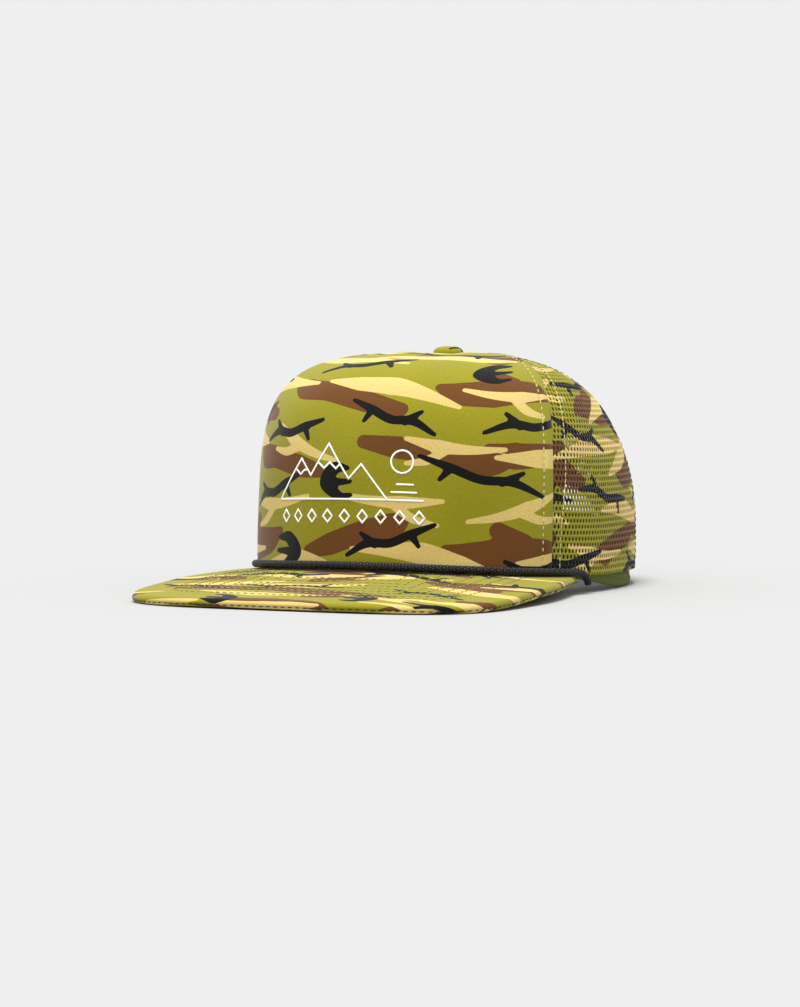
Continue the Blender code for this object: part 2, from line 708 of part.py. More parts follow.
def build():
    for old in list(bpy.data.objects):
        bpy.data.objects.remove(old, do_unlink=True)
    scene = bpy.context.scene.collection
    cap = bpy.data.collections.new("trucker_cap")
    cutters = bpy.data.collections.new("cutters")
    scene.children.link(cap)
    scene.children.link(cutters)

    lime = (0.30, 0.36, 0.05)
    olive = (0.16, 0.20, 0.04)
    foam_white = (0.75, 0.74, 0.66)
    black = (0.01, 0.01, 0.01)
    steel = (0.55, 0.55, 0.56)

    face_mid = FACE_THICK / 2.0
    foam_mid = FACE_THICK + GAP + FOAM_THICK / 2.0
    finish(front_panel("front_panel_face", face_mid, FACE_THICK, 24, PANEL_ROWS, cap), lime, 0.8)
    finish(front_panel("front_panel_foam", foam_mid, FOAM_THICK, 24, PANEL_ROWS, cap), foam_white, 0.9)
    for side_name, side in (("left", 1.0), ("right", -1.0)):
        finish(side_panel("side_mesh_" + side_name, side, cap), lime, 0.7)
        finish(rear_panel("rear_mesh_" + side_name, side, cap), lime, 0.7)
        front = tape("seam_tape_front_" + side_name, side, front_tape_seam,
                     SEAM_GAP / 2.0, FRONT_TAPE_WIDTH, 0.0, cap)
        finish(front, olive, 0.8)
        middle = tape("seam_tape_side_" + side_name, side, lambda share: math.radians(SIDE_SEAM),
                      -SEAM_TAPE_WIDTH / 2.0, SEAM_TAPE_WIDTH / 2.0, 0.0, cap)
        finish(middle, olive, 0.8)
    above_arch = (ARCH_HEIGHT + BINDING_LEG + 2.0 * GAP) / rise_at_radius(math.pi, TAPE_STOP)
    rear = tape("seam_tape_rear", 1.0, lambda share: math.pi,
                -SEAM_TAPE_WIDTH / 2.0, SEAM_TAPE_WIDTH / 2.0, above_arch, cap)
    finish(rear, olive, 0.8)
    finish(arch_binding(cap), lime, 0.8)

    finish(brim_top_cover(cap), lime, 0.8)
    finish(brim_sheet("brim_board", BOARD_TOP + BOARD_THICK / 2.0, BOARD_THICK,
                      BOARD_INSET, cap), foam_white, 0.6)
    finish(brim_sheet("brim_under_cover", UNDER_TOP + COVER_THICK / 2.0, COVER_THICK,
                      0.0, cap), lime, 0.8)
    finish(rope(cap), black, 0.6)

    cover, shell, back = button_parts(cap)
    finish(cover, lime, 0.8)
    finish(shell, steel, 0.35, 1.0)
    finish(back, steel, 0.35, 1.0)

    finish(sweatband(cap), olive, 0.75)
    finish(forehead_pad(cap), foam_white, 0.9)
    holes, pegs = strap_halves(cap, cutters)
    for half, side in ((holes, 1.0), (pegs, -1.0)):
        finish(half, olive, 0.4)
        set_pivot(half, strap_pivot(side))
    finish(strap_root("snap_strap_holes_end", 1.0, cap), olive, 0.4)
    finish(strap_root("snap_strap_pegs_end", -1.0, cap), olive, 0.4)
    finish(care_label(cap), foam_white, 0.7)

    for cutter in cutters.objects:
        cutter.hide_render = True
        cutter.display_type = "WIRE"


build()
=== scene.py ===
"""Looks of a trucker cap: printed camouflage knit over foam, perforated mesh, a roped brim and its sewing.

The crown is one surface, described by an azimuth round it and a rise up it. Every sewn piece is laid
on that surface, so neighbouring pieces meet at the same seams. Lengths are metres unless a name ends
in _mm, and azimuths are radians from the front centre, positive towards the wearer's left.
"""
import logging
import math
from collections.abc import Callable
from dataclasses import dataclass, field
from enum import Enum

import bmesh
import bpy
import numpy as np
from mathutils import Matrix, Vector


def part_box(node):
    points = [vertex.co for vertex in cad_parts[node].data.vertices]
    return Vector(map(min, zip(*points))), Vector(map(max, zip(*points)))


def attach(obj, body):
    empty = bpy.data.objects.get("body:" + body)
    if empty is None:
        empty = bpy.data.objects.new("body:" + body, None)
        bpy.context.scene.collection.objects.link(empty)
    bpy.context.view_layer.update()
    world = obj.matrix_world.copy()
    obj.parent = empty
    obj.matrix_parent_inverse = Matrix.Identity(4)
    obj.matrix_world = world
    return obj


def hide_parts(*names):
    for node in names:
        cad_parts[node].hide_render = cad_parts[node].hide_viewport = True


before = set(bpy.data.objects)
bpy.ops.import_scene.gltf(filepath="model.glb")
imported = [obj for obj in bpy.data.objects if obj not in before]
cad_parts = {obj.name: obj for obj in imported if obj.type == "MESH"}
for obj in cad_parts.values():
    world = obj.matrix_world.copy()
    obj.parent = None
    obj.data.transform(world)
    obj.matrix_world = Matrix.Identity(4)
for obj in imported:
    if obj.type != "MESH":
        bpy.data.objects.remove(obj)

LOG = logging.getLogger("cap")
MM = 0.001
Stroke = tuple[tuple[float, float, float], ...]


# ---------------------------------------------------------------- small helpers

def linear(hex_colour: str) -> tuple[float, float, float, float]:
    """Turn an sRGB hex colour to linear light.

    Args:
        hex_colour: six hex digits.

    Returns:
        Red, green, blue and an alpha of 1.
    """
    values = [int(hex_colour[start:start + 2], 16) / 255.0 for start in (0, 2, 4)]
    red, green, blue = (v / 12.92 if v <= 0.04045 else ((v + 0.055) / 1.055) ** 2.4 for v in values)
    return red, green, blue, 1.0


def ease(value: np.ndarray, start: float, end: float) -> np.ndarray:
    """Rise smoothly from 0 at start to 1 at end."""
    share = np.clip((np.asarray(value, float) - start) / (end - start), 0.0, 1.0)
    return share * share * (3.0 - 2.0 * share)


def hump(value: np.ndarray, width: float) -> np.ndarray:
    """A smooth bump of height 1 at 0, which has mostly gone at one width."""
    return np.exp(-(np.asarray(value) / width) ** 2)


def add(tree: bpy.types.NodeTree, kind: str, inputs: dict | None = None,
        **settings: object) -> bpy.types.Node:
    """Add a node to a tree.

    Args:
        tree: the tree that gets the node.
        kind: the node's type name.
        inputs: values or output sockets for its inputs, by name or number.
        settings: attributes of the node.

    Returns:
        The new node.
    """
    node = tree.nodes.new(kind)
    for name, value in settings.items():
        setattr(node, name, value)
    for key, value in (inputs or {}).items():
        if isinstance(value, bpy.types.NodeSocket):
            tree.links.new(value, node.inputs[key])
        else:
            node.inputs[key].default_value = value
    return node


def times(tree: bpy.types.NodeTree, first: object, second: object) -> bpy.types.NodeSocket:
    """Multiply two numbers and return the result's socket."""
    return add(tree, "ShaderNodeMath", {0: first, 1: second}, operation="MULTIPLY").outputs[0]


def grey(tree: bpy.types.NodeTree, tone: object) -> bpy.types.NodeSocket:
    """Turn a number to a grey and return the colour's socket."""
    return add(tree, "ShaderNodeCombineColor", {"Red": tone, "Green": tone, "Blue": tone}).outputs["Color"]


def link_object(name: str, mesh: bpy.types.Mesh) -> bpy.types.Object:
    """Put a mesh into the scene as an object of its own."""
    piece = bpy.data.objects.new(name, mesh)
    bpy.context.scene.collection.objects.link(piece)
    return piece


def applied(piece: bpy.types.Object) -> bpy.types.Object:
    """Turn a piece's modifiers into plain mesh."""
    graph = bpy.context.evaluated_depsgraph_get()
    mesh = bpy.data.meshes.new_from_object(piece.evaluated_get(graph), depsgraph=graph)
    before = piece.data
    piece.modifiers.clear()
    piece.data = mesh
    mesh.name = piece.name
    bpy.data.meshes.remove(before)
    return piece


def thicken(piece: bpy.types.Object, thickness: float, offset: float = -1.0) -> bpy.types.Object:
    """Give an open surface a wall. Offset -1 puts the wall on the inside."""
    wall = piece.modifiers.new("wall", "SOLIDIFY")
    wall.thickness = thickness
    wall.offset = offset
    wall.use_even_offset = False
    return applied(piece)


def store(mesh: bpy.types.Mesh, name: str, values: np.ndarray) -> None:
    """Keep a number or a vector for each vertex of a mesh."""
    kind, slot = ("FLOAT", "value") if values.ndim == 1 else ("FLOAT_VECTOR", "vector")
    attribute = mesh.attributes.get(name) or mesh.attributes.new(name, kind, "POINT")
    attribute.data.foreach_set(slot, np.ascontiguousarray(values, np.float32).ravel())


def patch(name: str, columns: int, rows: int, place: Callable[[np.ndarray, np.ndarray], np.ndarray],
          closed: bool = False) -> bpy.types.Object:
    """Map a flat grid to a surface.

    Args:
        name: the piece's name.
        columns: cells along u.
        rows: cells along v.
        place: gives points for arrays of u and v, which run from 0 to 1.
        closed: whether the last column is the first one again.

    Returns:
        The piece, with u and v kept on it as the attribute "grid".
    """
    u, v = np.meshgrid(np.linspace(0.0, 1.0, columns + 1), np.linspace(0.0, 1.0, rows + 1), indexing="ij")
    u, v = u.ravel(), v.ravel()
    points = place(u, v)
    across, up = np.meshgrid(np.arange(columns), np.arange(rows), indexing="ij")
    low = (across * (rows + 1) + up).ravel()
    faces = np.stack((low, low + rows + 1, low + rows + 2, low + 1), axis=1)
    mesh = bpy.data.meshes.new(name)
    mesh.from_pydata(points.tolist(), [], faces.tolist())
    store(mesh, "grid", np.stack((u, v, 0.0 * u), axis=1))
    mesh.shade_smooth()
    piece = link_object(name, mesh)
    if closed:
        tidy(piece, 1e-6)
    return piece


def tidy(piece: bpy.types.Object, distance: float) -> None:
    """Merge vertices that lie together and drop faces with no area."""
    shape = bmesh.new()
    shape.from_mesh(piece.data)
    bmesh.ops.remove_doubles(shape, verts=shape.verts, dist=distance)
    bmesh.ops.dissolve_degenerate(shape, edges=shape.edges, dist=distance)
    loose = [corner for corner in shape.verts if not corner.link_faces]
    bmesh.ops.delete(shape, geom=loose, context="VERTS")
    shape.to_mesh(piece.data)
    shape.free()


def read(mesh: bpy.types.Mesh, name: str) -> np.ndarray:
    """A vector attribute of a mesh, one row for each vertex."""
    values = np.zeros(len(mesh.vertices) * 3, np.float32)
    mesh.attributes[name].data.foreach_get("vector", values)
    return values.reshape(-1, 3).astype(float)


def line_mesh(name: str, paths: list[np.ndarray]) -> bpy.types.Object:
    """A mesh of edges only, one run of edges for each path."""
    points: list = []
    edges: list = []
    for path in paths:
        first = len(points)
        points.extend(path.tolist())
        edges.extend((first + step, first + step + 1) for step in range(len(path) - 1))
    mesh = bpy.data.meshes.new(name)
    mesh.from_pydata(points, edges, [])
    return link_object(name, mesh)


# ---------------------------------------------------------------- finishes

class Cloth(Enum):
    """How the surface of a soft material is built up."""
    KNIT = "knit"
    WOVEN = "woven"
    FOAM = "foam"
    THREAD = "thread"


def shader_of(name: str, roughness: float, **sockets: object) -> tuple[bpy.types.Material, bpy.types.Node]:
    """A new material and its shader, with constants on the shader's own sockets.

    Args:
        name: the material's name.
        roughness: the shader's roughness.
        sockets: other socket values, with _ for each space.

    Returns:
        The material and its Principled node.
    """
    material = bpy.data.materials.new(name)
    material.use_nodes = True
    shader = material.node_tree.nodes["Principled BSDF"]
    shader.inputs["Roughness"].default_value = roughness
    for socket, value in sockets.items():
        shader.inputs[socket.replace("_", " ")].default_value = value
    return material, shader


def mixed(tree: bpy.types.NodeTree, share: object, first: object, second: object,
          blend: str = "MIX") -> bpy.types.NodeSocket:
    """Mix two colours and return the result's socket."""
    node = add(tree, "ShaderNodeMix", {0: share, 6: first, 7: second}, data_type="RGBA", blend_type=blend)
    return node.outputs[2]


@dataclass(frozen=True)
class CamoPrint:
    """Polyester cloth with a four-colour sublimation print: flat colour, soft sheen, fine knit grain."""
    name: str
    ground: str = "868018"
    brown: str = "613C18"
    tan: str = "C8B06A"
    black: str = "0B0B0C"
    grain_mm: float = 0.55
    roughness: float = 0.86
    sheen: float = 0.15
    bump_mm: float = 0.07
    edge_mm: float = 0.10  # how far the dye bleeds at the edge of a colour

    def material(self) -> bpy.types.Material:
        """Build the material. It reads the attributes brown, tan, black and cloth, in millimetres."""
        material, shader = shader_of(self.name, self.roughness, Sheen_Weight=self.sheen,
                                     Sheen_Roughness=0.45,
                                     Specular_IOR_Level=0.12)
        tree = material.node_tree
        cloth = add(tree, "ShaderNodeAttribute", attribute_name="cloth").outputs["Vector"]
        colour = linear(self.ground)
        for layer in ("brown", "tan", "black"):
            depth = add(tree, "ShaderNodeAttribute", attribute_name=layer).outputs["Fac"]
            inside = add(tree, "ShaderNodeMapRange", {"Value": depth, "From Min": -self.edge_mm,
                                                      "From Max": self.edge_mm}).outputs["Result"]
            colour = mixed(tree, inside, colour, linear(getattr(self, layer)))
        # Wales of the knit run up the cloth: a fine noise, stretched upwards, lightens and darkens them.
        stretched = add(tree, "ShaderNodeMapping", {"Vector": cloth,
                                                    "Scale": (1.0, 0.45, 1.0)}).outputs["Vector"]
        grain = add(tree, "ShaderNodeTexNoise", {"Vector": stretched, "Scale": 1.0 / self.grain_mm,
                                                 "Detail": 3.0,
                                                 "Roughness": 0.65}).outputs["Fac"]
        tone = add(tree, "ShaderNodeMapRange", {"Value": grain, "From Min": 0.3, "From Max": 0.7,
                                                "To Min": 0.86,
                                                "To Max": 1.12}).outputs["Result"]
        shade = grey(tree, tone)
        # Slow changes over some 30 mm, as cloth takes dye unevenly.
        cloud = add(tree, "ShaderNodeTexNoise", {"Vector": cloth, "Scale": 0.03,
                                                 "Detail": 2.0}).outputs["Fac"]
        drift = add(tree, "ShaderNodeMapRange", {"Value": cloud, "To Min": 0.93,
                                                 "To Max": 1.07}).outputs["Result"]
        warm = add(tree, "ShaderNodeCombineColor", {"Red": drift, "Green": drift,
                                                    "Blue": 1.0}).outputs["Color"]
        colour = mixed(tree, 1.0, mixed(tree, 1.0, colour, shade, "MULTIPLY"), warm, "MULTIPLY")
        tree.links.new(colour, shader.inputs["Base Color"])
        bump = add(tree, "ShaderNodeBump", {"Height": grain, "Strength": 0.7, "Distance": self.bump_mm * MM})
        tree.links.new(bump.outputs["Normal"], shader.inputs["Normal"])
        return material


@dataclass(frozen=True)
class PlainCloth:
    """A dyed cloth, foam or thread of one colour, with its build drawn at a real size."""
    name: str
    colour: str
    build: Cloth = Cloth.WOVEN
    pitch_mm: float = 0.5
    roughness: float = 0.85
    sheen: float = 0.2
    bump_mm: float = 0.06
    contrast: float = 0.18

    def material(self) -> bpy.types.Material:
        """Build the material on the piece's own coordinates."""
        material, shader = shader_of(self.name, self.roughness, Sheen_Weight=self.sheen, Sheen_Roughness=0.5,
                                     Specular_IOR_Level=0.3)
        tree = material.node_tree
        where = add(tree, "ShaderNodeTexCoord").outputs["Object"]
        per_metre = 1.0 / (self.pitch_mm * MM)
        if self.build is Cloth.FOAM:
            # Open cells of polyurethane foam, about a third of a millimetre across.
            cells = add(tree, "ShaderNodeTexVoronoi", {"Vector": where, "Scale": per_metre})
            height = cells.outputs["Distance"]
        elif self.build is Cloth.WOVEN:
            # Warp and weft: two wave patterns at right angles, with the larger one showing.
            warp = add(tree, "ShaderNodeTexWave", {"Vector": where, "Scale": per_metre / 6.0,
                                                   "Distortion": 0.6},
                       bands_direction="Z").outputs["Fac"]
            weft = add(tree, "ShaderNodeTexWave", {"Vector": where, "Scale": per_metre / 6.0,
                                                   "Distortion": 0.6},
                       bands_direction="DIAGONAL").outputs["Fac"]
            height = add(tree, "ShaderNodeMath", {0: warp, 1: weft}, operation="MAXIMUM").outputs[0]
        else:
            # Fibres of yarn, which catch the light unevenly.
            height = add(tree, "ShaderNodeTexNoise", {"Vector": where, "Scale": per_metre, "Detail": 3.0,
                                                      "Roughness": 0.7}).outputs["Fac"]
        tone = add(tree, "ShaderNodeMapRange", {"Value": height, "To Min": 1.0 - self.contrast,
                                                "To Max": 1.0 + self.contrast}).outputs["Result"]
        shade = grey(tree, tone)
        colour = mixed(tree, 1.0, linear(self.colour), shade, "MULTIPLY")
        tree.links.new(colour, shader.inputs["Base Color"])
        bump = add(tree, "ShaderNodeBump", {"Height": height, "Strength": 0.8,
                                            "Distance": self.bump_mm * MM})
        tree.links.new(bump.outputs["Normal"], shader.inputs["Normal"])
        return material


@dataclass(frozen=True)
class Solid:
    """A moulded or pressed material: plastic or steel, with its fine surface grain and faint wear."""
    name: str
    colour: str
    worn: str
    roughness: float
    metallic: float = 0.0
    grain_mm: float = 0.4
    bump_mm: float = 0.02

    def material(self) -> bpy.types.Material:
        """Build the material on the piece's own coordinates."""
        material, shader = shader_of(self.name, self.roughness, Metallic=self.metallic)
        tree = material.node_tree
        where = add(tree, "ShaderNodeTexCoord").outputs["Object"]
        grain = add(tree, "ShaderNodeTexNoise", {"Vector": where, "Scale": 1.0 / (self.grain_mm * MM),
                                                 "Detail": 2.0})
        # Handling rubs patches about 6 mm across a little lighter and smoother.
        rub = add(tree, "ShaderNodeTexNoise", {"Vector": where, "Scale": 160.0,
                                               "Detail": 3.0}).outputs["Fac"]
        share = add(tree, "ShaderNodeMapRange", {"Value": rub, "From Min": 0.45,
                                                 "From Max": 0.75}).outputs["Result"]
        colour = mixed(tree, share, linear(self.colour), linear(self.worn))
        tree.links.new(colour, shader.inputs["Base Color"])
        rough = add(tree, "ShaderNodeMapRange", {"Value": grain.outputs["Fac"],
                                                 "To Min": self.roughness - 0.06,
                                                 "To Max": self.roughness + 0.08}).outputs["Result"]
        tree.links.new(rough, shader.inputs["Roughness"])
        bump = add(tree, "ShaderNodeBump", {"Height": grain.outputs["Fac"], "Strength": 0.5,
                                            "Distance": self.bump_mm * MM})
        tree.links.new(bump.outputs["Normal"], shader.inputs["Normal"])
        return material


class Wardrobe:
    """Every finish of the cap, made once."""

    def __init__(self) -> None:
        """Build the materials."""
        self.knit = CamoPrint("printed_polyester_knit").material()
        self.mesh = CamoPrint("printed_polyester_mesh", grain_mm=0.35, sheen=0.10, bump_mm=0.08,
                              roughness=0.7).material()
        self.foam = PlainCloth("polyurethane_foam", "DCD9C8", Cloth.FOAM, 0.5, 0.95, 0.0, 0.15,
                               0.10).material()
        self.tape = PlainCloth("woven_polyester_tape", "5A5E1E", Cloth.WOVEN, 0.6, 0.9, 0.15,
                               0.08).material()
        self.band = PlainCloth("brushed_sweatband_twill", "4E5A0E", Cloth.WOVEN, 0.5, 0.95, 0.08,
                               0.07).material()
        self.rope = PlainCloth("braided_polyester_cord", "161618", Cloth.THREAD, 0.3, 0.42, 0.03,
                               0.05).material()
        self.pale_thread = PlainCloth("pale_olive_thread", "B9B67A", Cloth.THREAD, 0.25, 0.6, 0.2,
                                      0.03).material()
        self.brim_thread = PlainCloth("brim_thread", "97954E", Cloth.THREAD, 0.25, 0.6, 0.1, 0.03).material()
        self.olive_thread = PlainCloth("olive_thread", "6E6F2C", Cloth.THREAD, 0.25, 0.6, 0.2,
                                       0.03).material()
        self.label = PlainCloth("satin_label", "DEDCD2", Cloth.WOVEN, 0.4, 0.5, 0.3, 0.03, 0.08).material()
        self.ink = PlainCloth("white_transfer_print", "F4F3EE", Cloth.KNIT, 0.5, 0.55, 0.0, 0.02,
                              0.04).material()
        self.plastic = Solid("moulded_polyethylene", "4A5414", "566020", 0.45).material()
        self.board = Solid("polyethylene_board", "D9D9D0", "CFCFC4", 0.6).material()
        self.steel = Solid("pressed_steel", "9A9A98", "B4B4B0", 0.38, 1.0, 0.6, 0.01).material()
        self.floor = self.studio_floor()

    @staticmethod
    def studio_floor() -> bpy.types.Material:
        """Seamless paper: a plain pale floor with a barely visible tooth."""
        material, shader = shader_of("studio_paper", 0.95, Specular_IOR_Level=0.0)
        tree = material.node_tree
        where = add(tree, "ShaderNodeTexCoord").outputs["Object"]
        tooth = add(tree, "ShaderNodeTexNoise", {"Vector": where, "Scale": 900.0,
                                                 "Detail": 2.0}).outputs["Fac"]
        colour = mixed(tree, tooth, linear("A8A8A8"), linear("A9A9A9"))
        tree.links.new(colour, shader.inputs["Base Color"])
        return material


# ---------------------------------------------------------------- camouflage

@dataclass(frozen=True)
class Motif:
    """One shape of the print: a run of (along, up, half width) in millimetres about its own middle."""
    strokes: tuple[Stroke, ...]

    def laid(self, across: float, up: float, stretch: float, lean: float, flip: bool) -> tuple[Stroke, ...]:
        """The shape at a place on the cloth.

        Args:
            across: millimetres across the cloth.
            up: millimetres up the cloth.
            stretch: how much longer it is drawn.
            lean: turn, in radians.
            flip: whether it is turned left for right.

        Returns:
            The shape's strokes on the cloth.
        """
        way = -1.0 if flip else 1.0
        cosine, sine = math.cos(lean), math.sin(lean)
        return tuple(tuple((across + way * stretch * (x * cosine - y * sine), up + x * sine + y * cosine, r)
                           for x, y, r in stroke) for stroke in self.strokes)


BLOT = Motif((((-25, 0, 2), (-15, 2, 6), (0, 0, 8), (15, -2, 6), (25, 0, 2)), ((-5, 5, 5), (5, 10, 4))))
BAR = Motif((((-30, 0, 3), (-15, 0, 5), (5, 1, 5), (20, 0, 6), (30, 3, 2)),))
LENS = Motif((((-30, -2, 1), (-15, 0, 4), (0, 2, 5), (15, 1, 3), (30, -1, 1)),))
FORK = Motif((((-25, 0, 1), (-10, 0, 2), (5, 2, 3), (20, 6, 1)), ((0, 1, 2), (10, -4, 2), (20, -5, 1))))
BRANCH = Motif((((-25, 2, 1), (-12, 0, 2), (0, -2, 2), (12, 0, 2), (25, -3, 1)), ((-12, 0, 2), (-15, -6, 1)),
                ((8, -1, 2), (15, 5, 1))))
HOOK = Motif((((-5, 6, 1), (2, 6, 3), (6, 0, 4), (0, -6, 2), (-6, -6, 1)), ((-6, 0, 1), (2, 0, 2))))


@dataclass(frozen=True)
class Camouflage:
    """A camouflage print, with the strokes of each colour in the order in which they are printed."""
    brown: tuple[Stroke, ...]
    tan: tuple[Stroke, ...]
    black: tuple[Stroke, ...]

    @classmethod
    def printed(cls, seed: int) -> "Camouflage":
        """Lay the motifs over a piece of cloth in staggered rows, with some play in each place."""
        chance = np.random.default_rng(seed)

        def rows(motifs: tuple[Motif, ...], along: float, pitch: float) -> tuple[Stroke, ...]:
            """Rows of motifs of one colour, at a spacing along a row and between rows."""
            found: list = []
            for row, up in enumerate(np.arange(-20.0, 150.0, pitch)):
                for across in np.arange(-120.0, 120.0, along) + along / 2.0 * (row % 2):
                    shift = chance.uniform(-0.2, 0.2, 2) * (along, pitch)
                    motif = motifs[int(chance.integers(len(motifs)))]
                    found.extend(motif.laid(across + shift[0], up + shift[1], chance.uniform(0.8, 1.2),
                                            chance.uniform(-0.25, 0.25), bool(chance.integers(2))))
            return tuple(found)
        return cls(rows((BLOT, BAR), 75.0, 34.0), rows((LENS, FORK), 62.0, 25.0),
                   rows((BRANCH, HOOK, BRANCH), 58.0, 29.0))

    @staticmethod
    def dabs(strokes: tuple[Stroke, ...]) -> np.ndarray:
        """Turn strokes into close round dabs, along a smooth curve through each stroke's points."""
        found = []
        for stroke in strokes:
            knots = np.array(stroke, float)
            padded = np.concatenate((2 * knots[:1] - knots[1:2], knots, 2 * knots[-1:] - knots[-2:-1]))
            for index in range(1, len(padded) - 2):
                before, first, second, after = padded[index - 1:index + 3]
                steps = max(int(np.hypot(*(second - first)[:2]) / 0.6), 2)
                t = np.linspace(0.0, 1.0, steps + 1)[:, None]
                curve = 0.5 * (2 * first + (second - before) * t
                               + (2 * before - 5 * first + 4 * second - after) * t ** 2
                               + (3 * first - before - 3 * second + after) * t ** 3)
                curve[:, 2] = first[2] + (second[2] - first[2]) * t[:, 0]
                found.append(curve)
        return np.concatenate(found)

    def paint(self, mesh: bpy.types.Mesh, across: np.ndarray, up: np.ndarray) -> None:
        """Keep each colour's depth inside its own edge on a mesh.

        Args:
            mesh: the mesh, whose vertices are in the order of the arrays.
            across: millimetres across the cloth, for each vertex.
            up: millimetres up the cloth.
        """
        for layer in ("brown", "tan", "black"):
            dabs = self.dabs(getattr(self, layer))
            near = ((dabs[:, 0] > across.min() - 15.0) & (dabs[:, 0] < across.max() + 15.0)
                    & (dabs[:, 1] > up.min() - 15.0) & (dabs[:, 1] < up.max() + 15.0))
            depth = np.full(len(across), -9.0)
            for x, y, radius in dabs[near]:
                np.maximum(depth, radius - np.hypot(across - x, up - y), out=depth)
            store(mesh, layer, depth)
        store(mesh, "cloth", np.stack((across, up, np.zeros(len(up))), axis=1))


(FRONT_CAMO, SIDE_CAMO, SIDE_RIGHT_CAMO, REAR_LEFT_CAMO, REAR_RIGHT_CAMO, BRIM_CAMO, UNDER_CAMO,
 TRIM_CAMO) = (Camouflage.printed(seed) for seed in range(1, 9))


# ---------------------------------------------------------------- the crown's surface

@dataclass
class Crown:
    """The crown's outer face. Its plan and its profile are both superellipses."""
    half_width: float
    half_length: float
    top: float
    center_y: float
    plan_power: float = 2.2
    top_power_front: float = 4.6
    top_power_rear: float = 2.3
    hem_side: float = 0.0076
    hem_front_rise: float = 0.0055
    hem_rear_drop: float = 0.0009
    panel_stop: float = 0.0060  # radius of the hole that the button closes
    front_seam_low: float = math.radians(56.8)
    front_seam_top: float = math.radians(90.0)
    side_seam: float = math.radians(126.0)
    arch_half_angle: float = math.radians(31.0)
    arch_height: float = 0.0420
    arch_power: float = 2.5
    probe: float = 0.0004  # step used to find the outward direction
    stitch_side: float = 0.0058  # from the front seam to the row of stitches in the foam panel
    foam_swell: float = 0.0009  # how far the foam stands out between its seams
    foam_roll: float = 0.0026  # width over which the foam rolls down to its seam
    stitch_pull: float = 0.00045  # depth of the groove along the foam's stitches
    mesh_dip: float = 0.0008  # how far the taut mesh falls in between its seams
    ridge_width: float = 0.0090
    side_ridge: float = 0.0008
    back_ridge: float = 0.0006
    seam_cut: float = 0.0006  # depth of the line where two mesh panels meet
    turns: int = 361
    steps: int = 241
    tables: dict[str, np.ndarray] = field(default_factory=dict)

    def __post_init__(self) -> None:
        """Work out radius and height at even shares of the rise, for azimuths from front to back."""
        turns = np.linspace(0.0, math.pi, self.turns)
        angles = np.linspace(0.0, math.pi / 2.0, 193)
        shares = np.linspace(0.0, 1.0, self.steps)
        rows = {"radius": [], "height": [], "total": [], "stop": []}
        for turn in turns:
            rearward = (1.0 - math.cos(turn)) / 2.0
            power = self.top_power_front + (self.top_power_rear - self.top_power_front) * rearward
            outward, upward = np.abs(np.cos(angles)), np.sin(angles)
            reach = (outward ** power + upward ** power) ** (-1.0 / power)
            low = float(self.hem(turn))
            radii = float(self.plan_radius(turn)) * reach * outward
            heights = low + (self.top - low) * reach * upward
            rises = np.concatenate(([0.0], np.cumsum(np.hypot(np.diff(radii), np.diff(heights)))))
            rows["radius"].append(np.interp(shares * rises[-1], rises, radii))
            rows["height"].append(np.interp(shares * rises[-1], rises, heights))
            rows["total"].append(rises[-1])
            rows["stop"].append(np.interp(-self.panel_stop, -radii, rises))
        self.tables = {name: np.array(row) for name, row in rows.items()}

    @classmethod
    def from_frame(cls) -> "Crown":
        """Read the crown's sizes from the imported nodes."""
        face_low, face_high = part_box("front_panel_face")
        side_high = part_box("side_mesh_left")[1]
        button_low, button_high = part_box("button_cover")
        center_y = (button_low.y + button_high.y) / 2.0
        return cls(side_high.x, center_y - face_low.y, face_high.z, center_y)

    def plan_radius(self, azimuth: np.ndarray) -> np.ndarray:
        """Radius of the outer face at the hem."""
        across = np.abs(np.sin(azimuth)) / self.half_width
        along = np.abs(np.cos(azimuth)) / self.half_length
        return (across ** self.plan_power + along ** self.plan_power) ** (-1.0 / self.plan_power)

    def hem(self, azimuth: np.ndarray) -> np.ndarray:
        """Height of the hem."""
        forward = np.cos(azimuth)
        return self.hem_side + np.where(forward > 0.0, self.hem_front_rise,
                                        -self.hem_rear_drop) * forward ** 2

    def along_turns(self, name: str, azimuth: np.ndarray) -> np.ndarray:
        """A value that depends on the azimuth only."""
        turn = np.abs((np.asarray(azimuth) + math.pi) % (2.0 * math.pi) - math.pi)
        return np.interp(turn, np.linspace(0.0, math.pi, self.turns), self.tables[name])

    def look_up(self, name: str, azimuth: np.ndarray, rise: np.ndarray) -> np.ndarray:
        """Radius or height at an azimuth and a rise, between the tables' entries."""
        turn = np.abs((np.asarray(azimuth) + math.pi) % (2.0 * math.pi) - math.pi)
        share = np.clip(rise / self.along_turns("total", turn), 0.0, 1.0)
        row, column = turn / math.pi * (self.turns - 1), share * (self.steps - 1)
        low_row = np.minimum(row.astype(int), self.turns - 2)
        low_column = np.minimum(column.astype(int), self.steps - 2)
        down, right = row - low_row, column - low_column
        table = self.tables[name]
        low = table[low_row, low_column] * (1 - right) + table[low_row, low_column + 1] * right
        high = table[low_row + 1, low_column] * (1 - right) + table[low_row + 1, low_column + 1] * right
        return low * (1 - down) + high * down

    def radius(self, azimuth: np.ndarray, rise: np.ndarray) -> np.ndarray:
        """Distance of the face from the crown's axis."""
        return self.look_up("radius", azimuth, np.asarray(rise, float))

    def on_plan(self, azimuth: np.ndarray, radius: np.ndarray, height: np.ndarray) -> np.ndarray:
        """Points at azimuths, radii and heights."""
        return np.stack((radius * np.sin(azimuth), self.center_y - radius * np.cos(azimuth),
                         height + 0.0 * radius), axis=-1)

    def face(self, azimuth: np.ndarray, rise: np.ndarray) -> np.ndarray:
        """Points of the outer face. Below the hem it runs straight down."""
        height = self.look_up("height", azimuth, rise) + np.minimum(rise, 0.0)
        return self.on_plan(azimuth, self.radius(azimuth, rise), height)

